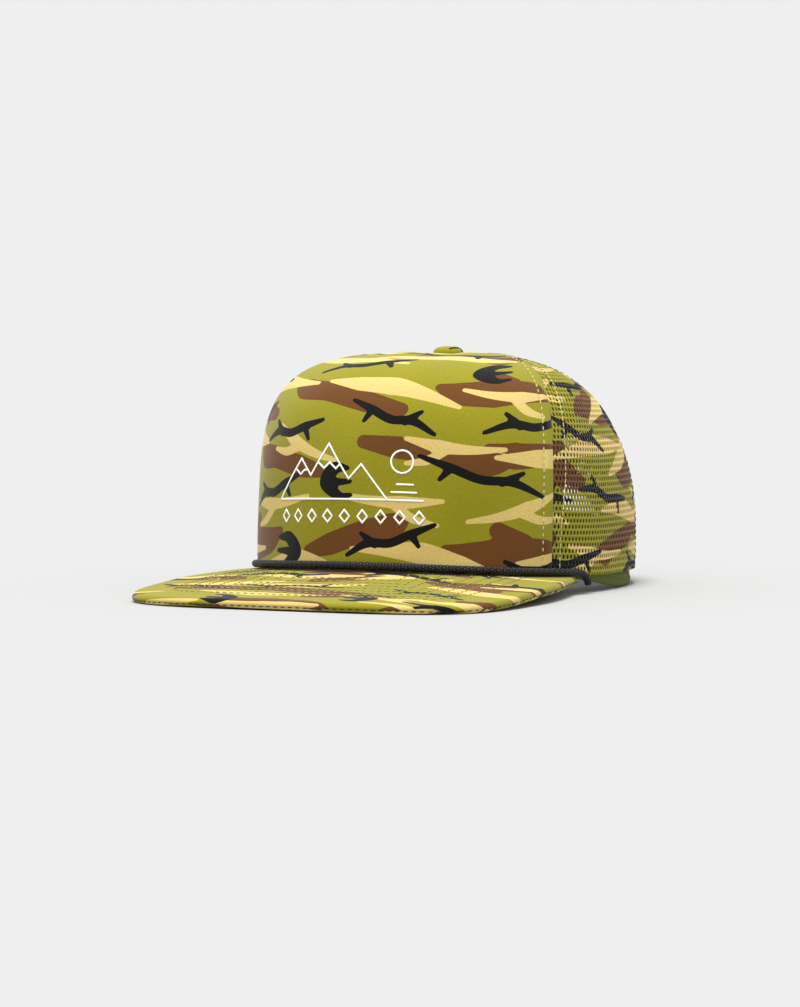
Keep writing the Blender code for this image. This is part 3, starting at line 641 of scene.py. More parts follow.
    def point(self, azimuth: np.ndarray, rise: np.ndarray, inset: np.ndarray = 0.0) -> np.ndarray:
        """Points at a depth below the outer face."""
        azimuth, rise = np.broadcast_arrays(np.asarray(azimuth, float), np.asarray(rise, float))
        turn = self.probe / np.maximum(self.radius(azimuth, rise), self.probe)
        along = self.face(azimuth + turn, rise) - self.face(azimuth - turn, rise)
        upward = self.face(azimuth, rise + self.probe) - self.face(azimuth, rise - self.probe)
        outward = np.cross(along, upward)
        outward /= np.maximum(np.linalg.norm(outward, axis=-1, keepdims=True), 1e-12)
        return self.face(azimuth, rise) - outward * np.asarray(inset)[..., None]

    def front_seam(self, share: np.ndarray) -> np.ndarray:
        """Azimuth of the front seam, at a share of the way from the hem to the button."""
        return self.front_seam_low + (self.front_seam_top - self.front_seam_low) * np.clip(share, 0, 1) ** 3

    def share(self, azimuth: np.ndarray, rise: np.ndarray) -> np.ndarray:
        """How far up a place is, from 0 at the hem to 1 at the button."""
        return rise / self.along_turns("stop", azimuth)

    def relief(self, azimuth: np.ndarray, rise: np.ndarray) -> np.ndarray:
        """How far the sewn cloth stands out from the plain face.

        The foam swells between its seams, the seams pull in, and the mesh is taut between the
        ridges of its seams.
        """
        turn = np.abs(azimuth)
        radius = self.radius(azimuth, rise)
        share = self.share(azimuth, rise)
        front = (turn - self.front_seam(share)) * radius
        side = (turn - self.side_seam) * radius
        back = (turn - math.pi) * radius
        foam = self.foam_swell * (1.0 - hump(front, self.foam_roll))
        foam -= self.stitch_pull * hump(front + self.stitch_side, 0.0010)
        span = np.clip(front / np.maximum(front - side, 1e-6), 0.0, 1.0)
        taut = -self.mesh_dip * np.sin(math.pi * span) * (side < 0.0)
        ridge = self.side_ridge * hump(side, self.ridge_width) - self.seam_cut * hump(side, 0.0008)
        ridge += self.back_ridge * hump(back, self.ridge_width) - self.seam_cut * hump(back, 0.0008)
        mesh = taut + ridge - 0.0004 * hump(front - 0.0060, 0.0010)
        fold = 0.00025 * np.sin(5.0 * azimuth + 60.0 * rise + 0.7)
        fold += 0.0002 * np.sin(11.0 * azimuth - 95.0 * rise)
        top = 1.0 - ease(share, 0.86, 1.0)
        low = ease(rise, -0.001, 0.008)
        return (np.where(front < 0.0, foam, mesh * low) + fold * low) * top

    def dressed(self, azimuth: np.ndarray, rise: np.ndarray, inset: np.ndarray = 0.0) -> np.ndarray:
        """Points at a depth below the cloth as it is sewn."""
        azimuth, rise = np.broadcast_arrays(np.asarray(azimuth, float), np.asarray(rise, float))
        return self.point(azimuth, rise, inset - self.relief(azimuth, rise))

    def arch_edge(self, angle: np.ndarray) -> tuple[np.ndarray, np.ndarray]:
        """Azimuth and rise on the rear arch's edge. Angle 0 is its left foot and 90 degrees its top."""
        across = np.cos(angle)
        span = np.sign(across) * np.abs(across) ** (2.0 / self.arch_power)
        rise = self.arch_height * np.abs(np.sin(angle)) ** (2.0 / self.arch_power)
        return math.pi - self.arch_half_angle * span, rise


CROWN = Crown.from_frame()


# ---------------------------------------------------------------- repeats made with Geometry Nodes

class Trees:
    """The Geometry Nodes trees for stitches, braid and perforated mesh, and their use."""

    def __init__(self) -> None:
        """Build the trees."""
        self.stitches = self.stitch_tree()
        self.braid = self.braid_tree()
        self.lattice = self.lattice_tree()

    @staticmethod
    def new_tree(name: str, sockets: dict[str, str]) -> tuple[bpy.types.NodeTree, bpy.types.Node]:
        """A tree with a geometry input and output and named inputs.

        Args:
            name: the tree's name.
            sockets: the type of each further input, by its name.

        Returns:
            The tree and its input node.
        """
        tree = bpy.data.node_groups.new(name, "GeometryNodeTree")
        tree.interface.new_socket(name="Geometry", in_out="INPUT", socket_type="NodeSocketGeometry")
        for socket, kind in sockets.items():
            tree.interface.new_socket(name=socket, in_out="INPUT", socket_type="NodeSocket" + kind)
        tree.interface.new_socket(name="Geometry", in_out="OUTPUT", socket_type="NodeSocketGeometry")
        return tree, add(tree, "NodeGroupInput")

    @staticmethod
    def close(tree: bpy.types.NodeTree, instances: bpy.types.NodeSocket, material: bpy.types.NodeSocket,
              merge: float = 0.0) -> None:
        """End a tree with Realize Instances and Set Material."""
        shape = add(tree, "GeometryNodeRealizeInstances", {"Geometry": instances}).outputs[0]
        if merge:
            shape = add(tree, "GeometryNodeMergeByDistance", {"Geometry": shape,
                                                              "Distance": merge}).outputs[0]
        shape = add(tree, "GeometryNodeSetShadeSmooth", {"Geometry": shape}).outputs[0]
        shape = add(tree, "GeometryNodeSetMaterial", {"Geometry": shape, "Material": material}).outputs[0]
        add(tree, "NodeGroupOutput", {"Geometry": shape})

    def stitch_tree(self) -> bpy.types.NodeTree:
        """Thread stitches along paths: a rounded stitch, then a gap, with a little play in each."""
        tree, given = self.new_tree("stitch_row", {"Length": "Float", "Gap": "Float", "Thread": "Float",
                                                   "Play": "Float", "Seed": "Int", "Material": "Material"})
        curve = add(tree, "GeometryNodeMeshToCurve", {"Mesh": given.outputs["Geometry"]}).outputs[0]
        pitch = add(tree, "ShaderNodeMath", {0: given.outputs["Length"], 1: given.outputs["Gap"]}).outputs[0]
        spots = add(tree, "GeometryNodeCurveToPoints", {"Curve": curve, "Length": pitch}, mode="LENGTH")
        play = add(tree, "FunctionNodeRandomValue", {0: (-1.0, -1.0, -1.0), 1: (1.0, 1.0, 1.0),
                                                     "Seed": given.outputs["Seed"]}, data_type="FLOAT_VECTOR")
        shift = add(tree, "ShaderNodeVectorMath", {0: play.outputs[0], "Scale": given.outputs["Play"]},
                    operation="SCALE").outputs[0]
        moved = add(tree, "GeometryNodeSetPosition", {"Geometry": spots.outputs["Points"],
                                                      "Offset": shift}).outputs[0]
        half = times(tree, given.outputs["Length"], 0.5)
        size = add(tree, "ShaderNodeCombineXYZ", {"X": given.outputs["Thread"], "Y": given.outputs["Thread"],
                                                  "Z": half}).outputs[0]
        ball = add(tree, "GeometryNodeMeshUVSphere", {"Segments": 8, "Rings": 6,
                                                      "Radius": 1.0}).outputs["Mesh"]
        placed = add(tree, "GeometryNodeInstanceOnPoints", {"Points": moved, "Instance": ball, "Scale": size,
                                                            "Rotation": spots.outputs["Rotation"]}).outputs[0]
        self.close(tree, placed, given.outputs["Material"])
        return tree

    def braid_tree(self) -> bpy.types.NodeTree:
        """Plaited strands round a path: rings of slanted grains that lean left and right in turn."""
        tree, given = self.new_tree("braided_cord", {"Pitch": "Float", "Radius": "Float", "Strands": "Int",
                                                     "Lean": "Float", "Material": "Material"})
        curve = add(tree, "GeometryNodeMeshToCurve", {"Mesh": given.outputs["Geometry"]}).outputs[0]
        spots = add(tree, "GeometryNodeCurveToPoints", {"Curve": curve, "Length": given.outputs["Pitch"]},
                    mode="LENGTH")
        core = times(tree, given.outputs["Radius"], 0.72)
        thin = times(tree, given.outputs["Radius"], 0.32)
        wide = times(tree, given.outputs["Radius"], 0.42)
        tall = times(tree, given.outputs["Pitch"], 0.68)
        size = add(tree, "ShaderNodeCombineXYZ", {"X": thin, "Y": wide, "Z": tall}).outputs[0]
        ball = add(tree, "GeometryNodeMeshUVSphere", {"Segments": 8, "Rings": 6,
                                                      "Radius": 1.0}).outputs["Mesh"]
        circle = add(tree, "GeometryNodeMeshCircle", {"Vertices": given.outputs["Strands"],
                                                      "Radius": core}).outputs[0]
        where = add(tree, "GeometryNodeInputPosition").outputs[0]
        facing = add(tree, "FunctionNodeAlignRotationToVector", {"Vector": where}, axis="X",
                     pivot_axis="Z").outputs[0]
        half_turn = add(tree, "ShaderNodeMath", {0: math.pi, 1: given.outputs["Strands"]},
                        operation="DIVIDE").outputs[0]
        rings = []
        for way in (1.0, -1.0):
            lean = times(tree, given.outputs["Lean"], way)
            tilt = add(tree, "FunctionNodeAxisAngleToRotation", {"Axis": (1.0, 0.0, 0.0),
                                                                 "Angle": lean}).outputs[0]
            turned = add(tree, "FunctionNodeRotateRotation", {"Rotation": facing, "Rotate By": tilt},
                         rotation_space="LOCAL").outputs[0]
            ring = add(tree, "GeometryNodeInstanceOnPoints", {"Points": circle, "Instance": ball,
                                                              "Scale": size,
                                                              "Rotation": turned}).outputs[0]
            ring = add(tree, "GeometryNodeRealizeInstances", {"Geometry": ring}).outputs[0]
            if way < 0.0:
                spin = add(tree, "ShaderNodeCombineXYZ", {"Z": half_turn}).outputs[0]
                euler = add(tree, "FunctionNodeEulerToRotation", {"Euler": spin}).outputs[0]
                ring = add(tree, "GeometryNodeTransform", {"Geometry": ring, "Rotation": euler}).outputs[0]
            rings.append(ring)
        index = add(tree, "GeometryNodeInputIndex").outputs[0]
        odd = add(tree, "ShaderNodeMath", {0: index, 1: 2.0}, operation="MODULO").outputs[0]
        even = add(tree, "ShaderNodeMath", {0: 1.0, 1: odd}, operation="SUBTRACT").outputs[0]
        joined = add(tree, "GeometryNodeJoinGeometry")
        for ring, chosen in zip(rings, (even, odd)):
            placed = add(tree, "GeometryNodeInstanceOnPoints", {
                "Points": spots.outputs["Points"], "Selection": chosen, "Instance": ring,
                "Rotation": spots.outputs["Rotation"]}).outputs[0]
            tree.links.new(placed, joined.inputs[0])
        self.close(tree, joined.outputs[0], given.outputs["Material"])
        return tree

    def lattice_tree(self) -> bpy.types.NodeTree:
        """Knitted mesh, laid flat: a cell with an oval hole, repeated in rows that step by half a cell."""
        tree, given = self.new_tree("perforated_knit", {"Columns": "Int", "Rows": "Int",
                                                        "Pitch Across": "Float",
                                                        "Pitch Up": "Float", "Cell": "Object",
                                                        "Material": "Material"})

        def span(count: bpy.types.NodeSocket, pitch: bpy.types.NodeSocket) -> bpy.types.NodeSocket:
            """Length of a row of cells, from middle to middle."""
            less = add(tree, "ShaderNodeMath", {0: count, 1: 1.0}, operation="SUBTRACT").outputs[0]
            return times(tree, less, pitch)
        across, up = given.outputs["Pitch Across"], given.outputs["Pitch Up"]
        grid = add(tree, "GeometryNodeMeshGrid", {
            "Size X": span(given.outputs["Columns"], across), "Size Y": span(given.outputs["Rows"], up),
            "Vertices X": given.outputs["Columns"], "Vertices Y": given.outputs["Rows"]}).outputs["Mesh"]
        index = add(tree, "GeometryNodeInputIndex").outputs[0]
        row = add(tree, "ShaderNodeMath", {0: index, 1: given.outputs["Rows"]},
                  operation="MODULO").outputs[0]
        odd = add(tree, "ShaderNodeMath", {0: row, 1: 2.0}, operation="MODULO").outputs[0]
        half = times(tree, across, 0.5)
        step = times(tree, odd, half)
        offset = add(tree, "ShaderNodeCombineXYZ", {"X": step}).outputs[0]
        moved = add(tree, "GeometryNodeSetPosition", {"Geometry": grid, "Offset": offset}).outputs[0]
        cell = add(tree, "GeometryNodeObjectInfo", {"Object": given.outputs["Cell"]}).outputs["Geometry"]
        placed = add(tree, "GeometryNodeInstanceOnPoints", {"Points": moved, "Instance": cell}).outputs[0]
        self.close(tree, placed, given.outputs["Material"], merge=0.00004)
        return tree

    @staticmethod
    def run(tree: bpy.types.NodeTree, piece: bpy.types.Object, **values: object) -> bpy.types.Object:
        """Run a tree on a piece and keep the result as plain mesh.

        Args:
            tree: the tree.
            piece: the object that holds the tree's input.
            values: the tree's inputs, with _ for each space.

        Returns:
            The same object, with the finished mesh.
        """
        maker = piece.modifiers.new(tree.name, "NODES")
        maker.node_group = tree
        for item in tree.interface.items_tree:
            key = item.name.replace(" ", "_")
            if item.item_type == "SOCKET" and item.in_out == "INPUT" and key in values:
                maker[item.identifier] = values[key]
        piece.update_tag()
        bpy.context.view_layer.update()
        return applied(piece)


TREES = Trees()


def sew(name: str, paths: list[np.ndarray], thread: bpy.types.Material, length: float = 0.0022,
        gap: float = 0.0008, radius: float = 0.00026, play: float = 0.00006, body: str = "cap") -> bpy.types.Object:
    """Sew rows of stitches along paths.

    Args:
        name: the piece's name.
        paths: runs of points in the object's frame.
        thread: the thread's material.
        length: length of one stitch that shows.
        gap: distance between two stitches.
        radius: half the thread's thickness.
        play: how far a stitch may stray.
        body: the body that the stitches ride on.

    Returns:
        The stitches, as one piece.
    """
    row = line_mesh(name, paths)
    TREES.run(TREES.stitches, row, Length=length, Gap=gap, Thread=radius, Play=play, Seed=7, Material=thread)
    dress(row, thread)
    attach(row, body)
    LOG.info("%s: %d faces", name, len(row.data.polygons))
    return row


def dress(piece: bpy.types.Object, material: bpy.types.Material) -> None:
    """Give every face of a piece one material, in the piece's only slot."""
    piece.data.materials.clear()
    piece.data.materials.append(material)
    piece.data.polygons.foreach_set("material_index", np.zeros(len(piece.data.polygons), np.int32))


def finished(piece: bpy.types.Object, material: bpy.types.Material, body: str = "cap",
             replaces: tuple[str, ...] = ()) -> bpy.types.Object:
    """Dress a piece, put it on its body and hide the nodes that it stands for."""
    dress(piece, material)
    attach(piece, body)
    if replaces:
        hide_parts(*replaces)
    LOG.info("%s: %d faces", piece.name, len(piece.data.polygons))
    return piece


def area_of(mesh: bpy.types.Mesh) -> float:
    """Half of a closed thin sheet's surface, which is the area of its cloth."""
    areas = np.zeros(len(mesh.polygons))
    mesh.polygons.foreach_get("area", areas)
    return float(areas.sum() / 2.0)


# ---------------------------------------------------------------- sub-assemblies

@dataclass
class FrontPanel:
    """The one-piece front: printed knit bonded to foam, its topstitching and its printed mark."""
    wardrobe: Wardrobe
    knit_thick: float = 0.0007
    foam_front: float = 0.0010
    foam_thick: float = 0.0025
    columns: int = 240
    rows: int = 150
    line_mm: float = 0.85  # width of a printed line
    ink_lift: float = 0.00012

    def spots(self, u: np.ndarray, v: np.ndarray, edge: float) -> tuple[np.ndarray, np.ndarray]:
        """Azimuths and rises over the panel, with closer columns at its seams."""
        u = u - 0.45 * np.sin(2.0 * math.pi * u) / (2.0 * math.pi)
        seam = CROWN.front_seam(v)
        stop = CROWN.along_turns("stop", seam * (2.0 * u - 1.0))
        trim = edge / np.maximum(CROWN.radius(seam, v * stop), 0.006)
        azimuth = (seam - trim) * (2.0 * u - 1.0)
        return azimuth, v * CROWN.along_turns("stop", azimuth)

    def cloth_mm(self, mesh: bpy.types.Mesh) -> tuple[np.ndarray, np.ndarray]:
        """Millimetres across and up the cloth, for each vertex of a panel made by patch."""
        grid = read(mesh, "grid")
        azimuth, rise = self.spots(grid[:, 0], grid[:, 1], 0.0002)
        return azimuth * CROWN.radius(azimuth, rise) / MM, rise / MM

    def build(self) -> None:
        """Make the panel, its foam, its stitches and its mark."""
        def outer(u: np.ndarray, v: np.ndarray) -> np.ndarray:
            """The panel's outer face."""
            return CROWN.dressed(*self.spots(u, v, 0.0002), 0.0)
        face = patch("front_panel", self.columns, self.rows, outer)
        FRONT_CAMO.paint(face.data, *self.cloth_mm(face.data))
        cut = area_of(face.data) * 2.0
        thicken(face, self.knit_thick)
        finished(face, self.wardrobe.knit, replaces=("front_panel_face",))

        def inner(u: np.ndarray, v: np.ndarray) -> np.ndarray:
            """The foam's outer face."""
            return CROWN.dressed(*self.spots(u, v, 0.0010), self.foam_front)
        foam = patch("foam_lining", 90, 60, inner)
        thicken(foam, self.foam_thick)
        finished(foam, self.wardrobe.foam, replaces=("front_panel_foam",))
        rows = [self.seam_row(side, -CROWN.stitch_side, -0.00005) for side in (-1.0, 1.0)]
        sew("front_panel_topstitch", rows, self.wardrobe.pale_thread, length=0.0019, gap=0.0013,
            radius=0.00034)
        self.mark()

    @staticmethod
    def seam_row(side: float, offset: float, inset: float) -> np.ndarray:
        """A path beside the front seam, from the hem to the button.

        Args:
            side: 1 for the wearer's left, -1 for the right.
            offset: distance from the seam, negative in the foam panel.
            inset: depth below the cloth.

        Returns:
            The path's points.
        """
        share = np.linspace(0.012, 0.93, 160)
        azimuth = CROWN.front_seam(share)
        rise = share * CROWN.along_turns("stop", azimuth)
        azimuth = azimuth + offset / CROWN.radius(azimuth, rise)
        return CROWN.dressed(side * azimuth, share * CROWN.along_turns("stop", azimuth), inset)

    def mark_lines(self) -> list[np.ndarray]:
        """The mark's lines in millimetres on the cloth: three peaks, a sun, and a row of small diamonds."""
        peaks = [
            [(-45, 31), (-30.5, 49), (-24.5, 41.5), (-15, 55.5), (-4, 40), (2, 46.5), (14.5, 31), (-45, 31)],
            [(-34, 44.6), (-31, 42), (-28.4, 44), (-26.4, 43.9)],
            [(-20.5, 47.4), (-17, 44.6), (-14, 47.2), (-10.6, 44.4), (-8.6, 46.4)],
            [(14.5, 31), (31, 31)],
            [(16, 34.5), (28, 34.5)],
            [(18.5, 38), (26.5, 38)],
        ]
        turn = np.linspace(0.0, 2.0 * math.pi, 41)
        sun = np.stack((21.0 + 5.0 * np.cos(turn), 48.0 + 5.0 * np.sin(turn)), axis=1)
        lines = [np.array(peak, float) for peak in peaks] + [sun]
        for number in range(9):
            middle = -41.0 + number * 8.75
            lines.append(np.array([(middle, 20.6), (middle + 2.4, 23.4), (middle, 26.2), (middle - 2.4,
                                                                                          23.4),
                                   (middle, 20.6)], float))
        return lines

    def mark(self) -> None:
        """Lay the mark on the cloth as thin raised lines."""
        shape = bmesh.new()
        for line in self.mark_lines():
            self.lay_line(shape, line)
        mesh = bpy.data.meshes.new("front_mark")
        shape.to_mesh(mesh)
        shape.free()
        mesh.shade_smooth()
        piece = link_object("front_mark", mesh)
        thicken(piece, self.ink_lift, 1.0)
        finished(piece, self.wardrobe.ink)

    def lay_line(self, shape: bmesh.types.BMesh, line: np.ndarray) -> None:
        """Add one line to the mark, as a strip with mitred corners.

        Args:
            shape: the mark so far.
            line: the line's corners in millimetres.
        """
        steps = [np.linspace(a, b, max(int(np.hypot(*(b - a)) / 0.9), 1) + 1)[:-1] for a, b in zip(line,
                                                                                                   line[1:])]
        points = np.concatenate([*steps, line[-1:]])
        closed = bool(np.allclose(line[0], line[-1]))
        if closed:
            points = points[:-1]
            before, after = np.roll(points, 1, axis=0), np.roll(points, -1, axis=0)
        else:
            before = np.concatenate((2 * points[:1] - points[1:2], points[:-1]))
            after = np.concatenate((points[1:], 2 * points[-1:] - points[-2:-1]))
        into, out = points - before, after - points
        into /= np.linalg.norm(into, axis=1, keepdims=True)
        out /= np.linalg.norm(out, axis=1, keepdims=True)
        middle = into + out
        middle /= np.linalg.norm(middle, axis=1, keepdims=True)
        normal = np.stack((-middle[:, 1], middle[:, 0]), axis=1)
        stretch = 1.0 / np.maximum((normal * np.stack((-out[:, 1], out[:, 0]), axis=1)).sum(axis=1), 0.4)
        edges = [points + normal * (way * self.line_mm / 2.0 * stretch)[:, None] for way in (-1.0, 1.0)]
        rails = [[shape.verts.new(spot) for spot in self.on_cloth(edge)] for edge in edges]
        count = len(points)
        for index in range(count if closed else count - 1):
            after_it = (index + 1) % count
            shape.faces.new((rails[0][index], rails[0][after_it], rails[1][after_it], rails[1][index]))

    @staticmethod
    def on_cloth(spots: np.ndarray) -> np.ndarray:
        """Points on the panel for places given in millimetres across and up."""
        rise = spots[:, 1] * MM
        azimuth = spots[:, 0] * MM / CROWN.radius(0.0 * rise, rise)
        for _ in range(6):
            azimuth = spots[:, 0] * MM / CROWN.radius(azimuth, rise)
        return CROWN.dressed(azimuth, rise, -0.00004)


@dataclass
class MeshPanels:
    """The knitted mesh of the crown's sides and back, the tapes over its seams and its stitching."""
    wardrobe: Wardrobe
    pitch_across: float = 0.00230
    pitch_up: float = 0.00270
    hole_wide: float = 0.00146
    hole_tall: float = 0.00188
    thick: float = 0.00055
    tape_thick: float = 0.0005
    tape_inset: float = 0.0019

    def cell(self) -> bpy.types.Object:
        """One flat cell of the mesh: a rectangle with an oval hole, with twelve corners to each."""
        wide, tall = self.pitch_across / 2.0, self.pitch_up / 2.0
        outline = [(1, 0), (1, 1), (0.5, 1), (0, 1), (-0.5, 1), (-1, 1), (-1, 0), (-1, -1), (-0.5, -1), (0,
                                                                                                         -1),
                   (0.5, -1), (1, -1)]
        shape = bmesh.new()
        outer = [shape.verts.new((x * wide, y * tall, 0.0)) for x, y in outline]
        inner = []
        for x, y in outline:
            angle = math.atan2(y, x)
            across = math.copysign(abs(math.cos(angle)) ** 0.8, math.cos(angle))
            up = math.copysign(abs(math.sin(angle)) ** 0.8, math.sin(angle))
            inner.append(shape.verts.new((across * self.hole_wide / 2.0, up * self.hole_tall / 2.0, 0.0)))
        for index in range(len(outline)):
            after = (index + 1) % len(outline)
            shape.faces.new((outer[index], outer[after], inner[after], inner[index]))
        mesh = bpy.data.meshes.new("mesh_cell")
        shape.to_mesh(mesh)
        shape.free()
        cell = link_object("mesh_cell", mesh)
        return cell

    def panel(self, name: str, node: str, middle: float, side: float, rear: bool, camo: Camouflage,
              cell: bpy.types.Object, width: float) -> None:
        """Make one mesh panel.

        Args:
            name: the panel's name.
            node: the node that it stands for.
            middle: azimuth of the panel's middle, for the left side.
            side: 1 for the wearer's left, -1 for the right.
            rear: whether it is a rear panel, with its half of the arch.
            camo: the print.
            cell: the flat cell to repeat.
            width: width of the flat sheet that it is cut from.
        """
        length = float(CROWN.tables["stop"].max()) + self.pitch_up
        columns, rows = int(width / self.pitch_across) + 2, int(length / self.pitch_up) + 1
        sheet = line_mesh(name, [np.zeros((2, 3))])
        TREES.run(TREES.lattice, sheet, Columns=columns, Rows=rows, Pitch_Across=self.pitch_across,
                  Pitch_Up=self.pitch_up, Cell=cell, Material=self.wardrobe.mesh)
        flat = np.zeros(len(sheet.data.vertices) * 3, np.float32)
        sheet.data.vertices.foreach_get("co", flat)
        flat = flat.reshape(-1, 3).astype(float)
        centre = side * middle
        rise = flat[:, 1] - flat[:, 1].min() - self.pitch_up * 0.4
        limit = float(CROWN.along_turns("stop", centre))
        azimuth = centre + flat[:, 0] / CROWN.radius(0.0 * rise + centre, np.clip(rise, 0.0, limit))
        turn = side * azimuth
        share = CROWN.share(azimuth, rise)
        low = np.full(len(turn), CROWN.side_seam) if rear else CROWN.front_seam(share)
        high = np.full(len(turn), math.pi if rear else CROWN.side_seam)
        trim = 0.00015 / np.maximum(CROWN.radius(azimuth, rise), 0.006)
        outside = (turn < low) | (turn > high) | (rise < 0.0) | (share > 1.0)
        rise = np.clip(rise, 0.0, CROWN.along_turns("stop", azimuth))
        turn = np.clip(turn, low + trim, high - trim)
        if rear:
            across = (math.pi - turn) / CROWN.arch_half_angle
            level = (np.abs(across) ** CROWN.arch_power
                     + (rise / CROWN.arch_height) ** CROWN.arch_power) ** (1.0 / CROWN.arch_power)
            within = level < 1.0
            grow = np.where(within, 1.0 / np.maximum(level, 0.05), 1.0)
            turn, rise = math.pi - across * grow * CROWN.arch_half_angle, rise * grow
            outside |= within
        azimuth = side * turn
        points = CROWN.dressed(azimuth, rise, 0.0)
        sheet.data.vertices.foreach_set("co", points.astype(np.float32).ravel())
        across_mm = (azimuth - centre) * CROWN.radius(azimuth, rise) / MM
        camo.paint(sheet.data, side * across_mm, rise / MM)
        self.drop_faces(sheet, outside)
        cut = area_of(sheet.data) * 2.0
        thicken(sheet, self.thick)
        finished(sheet, self.wardrobe.mesh, replaces=(node,))
        LOG.info("%s: cut from %.0f x %.0f mm", name, (width + 0.006) / MM, length / MM)

    @staticmethod
    def drop_faces(sheet: bpy.types.Object, outside: np.ndarray) -> None:
        """Cut away the faces that lie wholly outside a panel, and what has no area."""
        shape = bmesh.new()
        shape.from_mesh(sheet.data)
        shape.verts.ensure_lookup_table()
        waste = [part for part in shape.faces if all(outside[corner.index] for corner in part.verts)]
        bmesh.ops.delete(shape, geom=waste, context="FACES")
        bmesh.ops.remove_doubles(shape, verts=shape.verts, dist=0.00003)
        bmesh.ops.dissolve_degenerate(shape, edges=shape.edges, dist=0.00003)
        loose = [corner for corner in shape.verts if not corner.link_faces]
        bmesh.ops.delete(shape, geom=loose, context="VERTS")
        shape.to_mesh(sheet.data)
        shape.free()
        sheet.data.update()

    def tape(self, name: str, node: str, side: float, seam: Callable[[np.ndarray], np.ndarray], start: float,
             end: float, low: float) -> None:
        """A woven tape inside the crown, between two distances from a seam."""
        def place(u: np.ndarray, v: np.ndarray) -> np.ndarray:
            """Points of the tape's outer face."""
            share = low + (0.86 - low) * v
            azimuth = seam(share)
            rise = share * CROWN.along_turns("stop", azimuth)
            azimuth = azimuth + (start + (end - start) * u) / CROWN.radius(azimuth, rise)
            bow = 0.0003 * np.sin(math.pi * u)
            return CROWN.dressed(side * azimuth, rise, self.tape_inset - bow)
        strip = patch(name, 6, 90, place)
        if side < 0.0:
            strip.data.flip_normals()
        thicken(strip, self.tape_thick)
        finished(strip, self.wardrobe.tape, replaces=(node,))

    def rows_beside(self, seam: Callable[[np.ndarray], np.ndarray], offset: Callable[[np.ndarray],
                                                                                     np.ndarray],
                    low: float) -> list[np.ndarray]:
        """Stitch paths beside a seam, on the left and on the right."""
        share = np.linspace(low, 0.93, 160)
        azimuth = seam(share)
        rise = share * CROWN.along_turns("stop", azimuth)
        azimuth = azimuth + offset(rise) / CROWN.radius(azimuth, rise)
        return [CROWN.dressed(side * azimuth, rise, -0.00008) for side in (1.0, -1.0)]

    def build(self) -> None:
        """Make the four panels, the five tapes and the rows of stitches."""
        cell = self.cell()
        side_middle, rear_middle = math.radians(91.4), math.radians(153.0)
        self.panel("mesh_side_left", "side_mesh_left", side_middle, 1.0, False, SIDE_CAMO, cell, 0.112)
        self.panel("mesh_side_right", "side_mesh_right", side_middle, -1.0, False, SIDE_RIGHT_CAMO, cell,
                   0.112)
        self.panel("mesh_rear_left", "rear_mesh_left", rear_middle, 1.0, True,
                   REAR_LEFT_CAMO, cell, 0.098)
        self.panel("mesh_rear_right", "rear_mesh_right", rear_middle, -1.0, True, REAR_RIGHT_CAMO, cell,
                   0.098)
        bpy.data.objects.remove(cell)
        arch_top = CROWN.arch_height / float(CROWN.along_turns("stop", math.pi)) + 0.03

        def side_seam(share: np.ndarray) -> np.ndarray:
            """Azimuth of the seam between the side and the back."""
            return np.full(len(share), CROWN.side_seam)

        def back_seam(share: np.ndarray) -> np.ndarray:
            """Azimuth of the seam up the middle of the back."""
            return np.full(len(share), math.pi)
        for side, word in ((1.0, "left"), (-1.0, "right")):
            self.tape(f"tape_front_{word}", f"seam_tape_front_{word}", side, CROWN.front_seam, 0.0008,
                      0.0083, 0.0)
            self.tape(f"tape_side_{word}", f"seam_tape_side_{word}", side, side_seam, -0.0040, 0.0040, 0.0)
        self.tape("tape_rear", "seam_tape_rear", 1.0, back_seam, -0.0040, 0.0040, arch_top)
        front = self.rows_beside(CROWN.front_seam, lambda rise: 0.0045 + 0.0034 * ease(rise, 0.0, 0.055),
                                 0.01)
        sew("mesh_seam_stitch", front, self.wardrobe.pale_thread, length=0.0026, gap=0.0003, radius=0.00024)
        doubles = [path for way in (-0.0030, 0.0030)
                   for path in self.rows_beside(side_seam, lambda rise, way=way: way + 0.0 * rise, 0.01)]
        doubles += [self.rows_beside(back_seam, lambda rise, way=way: way + 0.0 * rise, arch_top)[0]
                    for way in (-0.0030, 0.0030)]
        sew("rear_seam_stitches", doubles, self.wardrobe.olive_thread, length=0.0024, gap=0.0006,
            radius=0.00022)


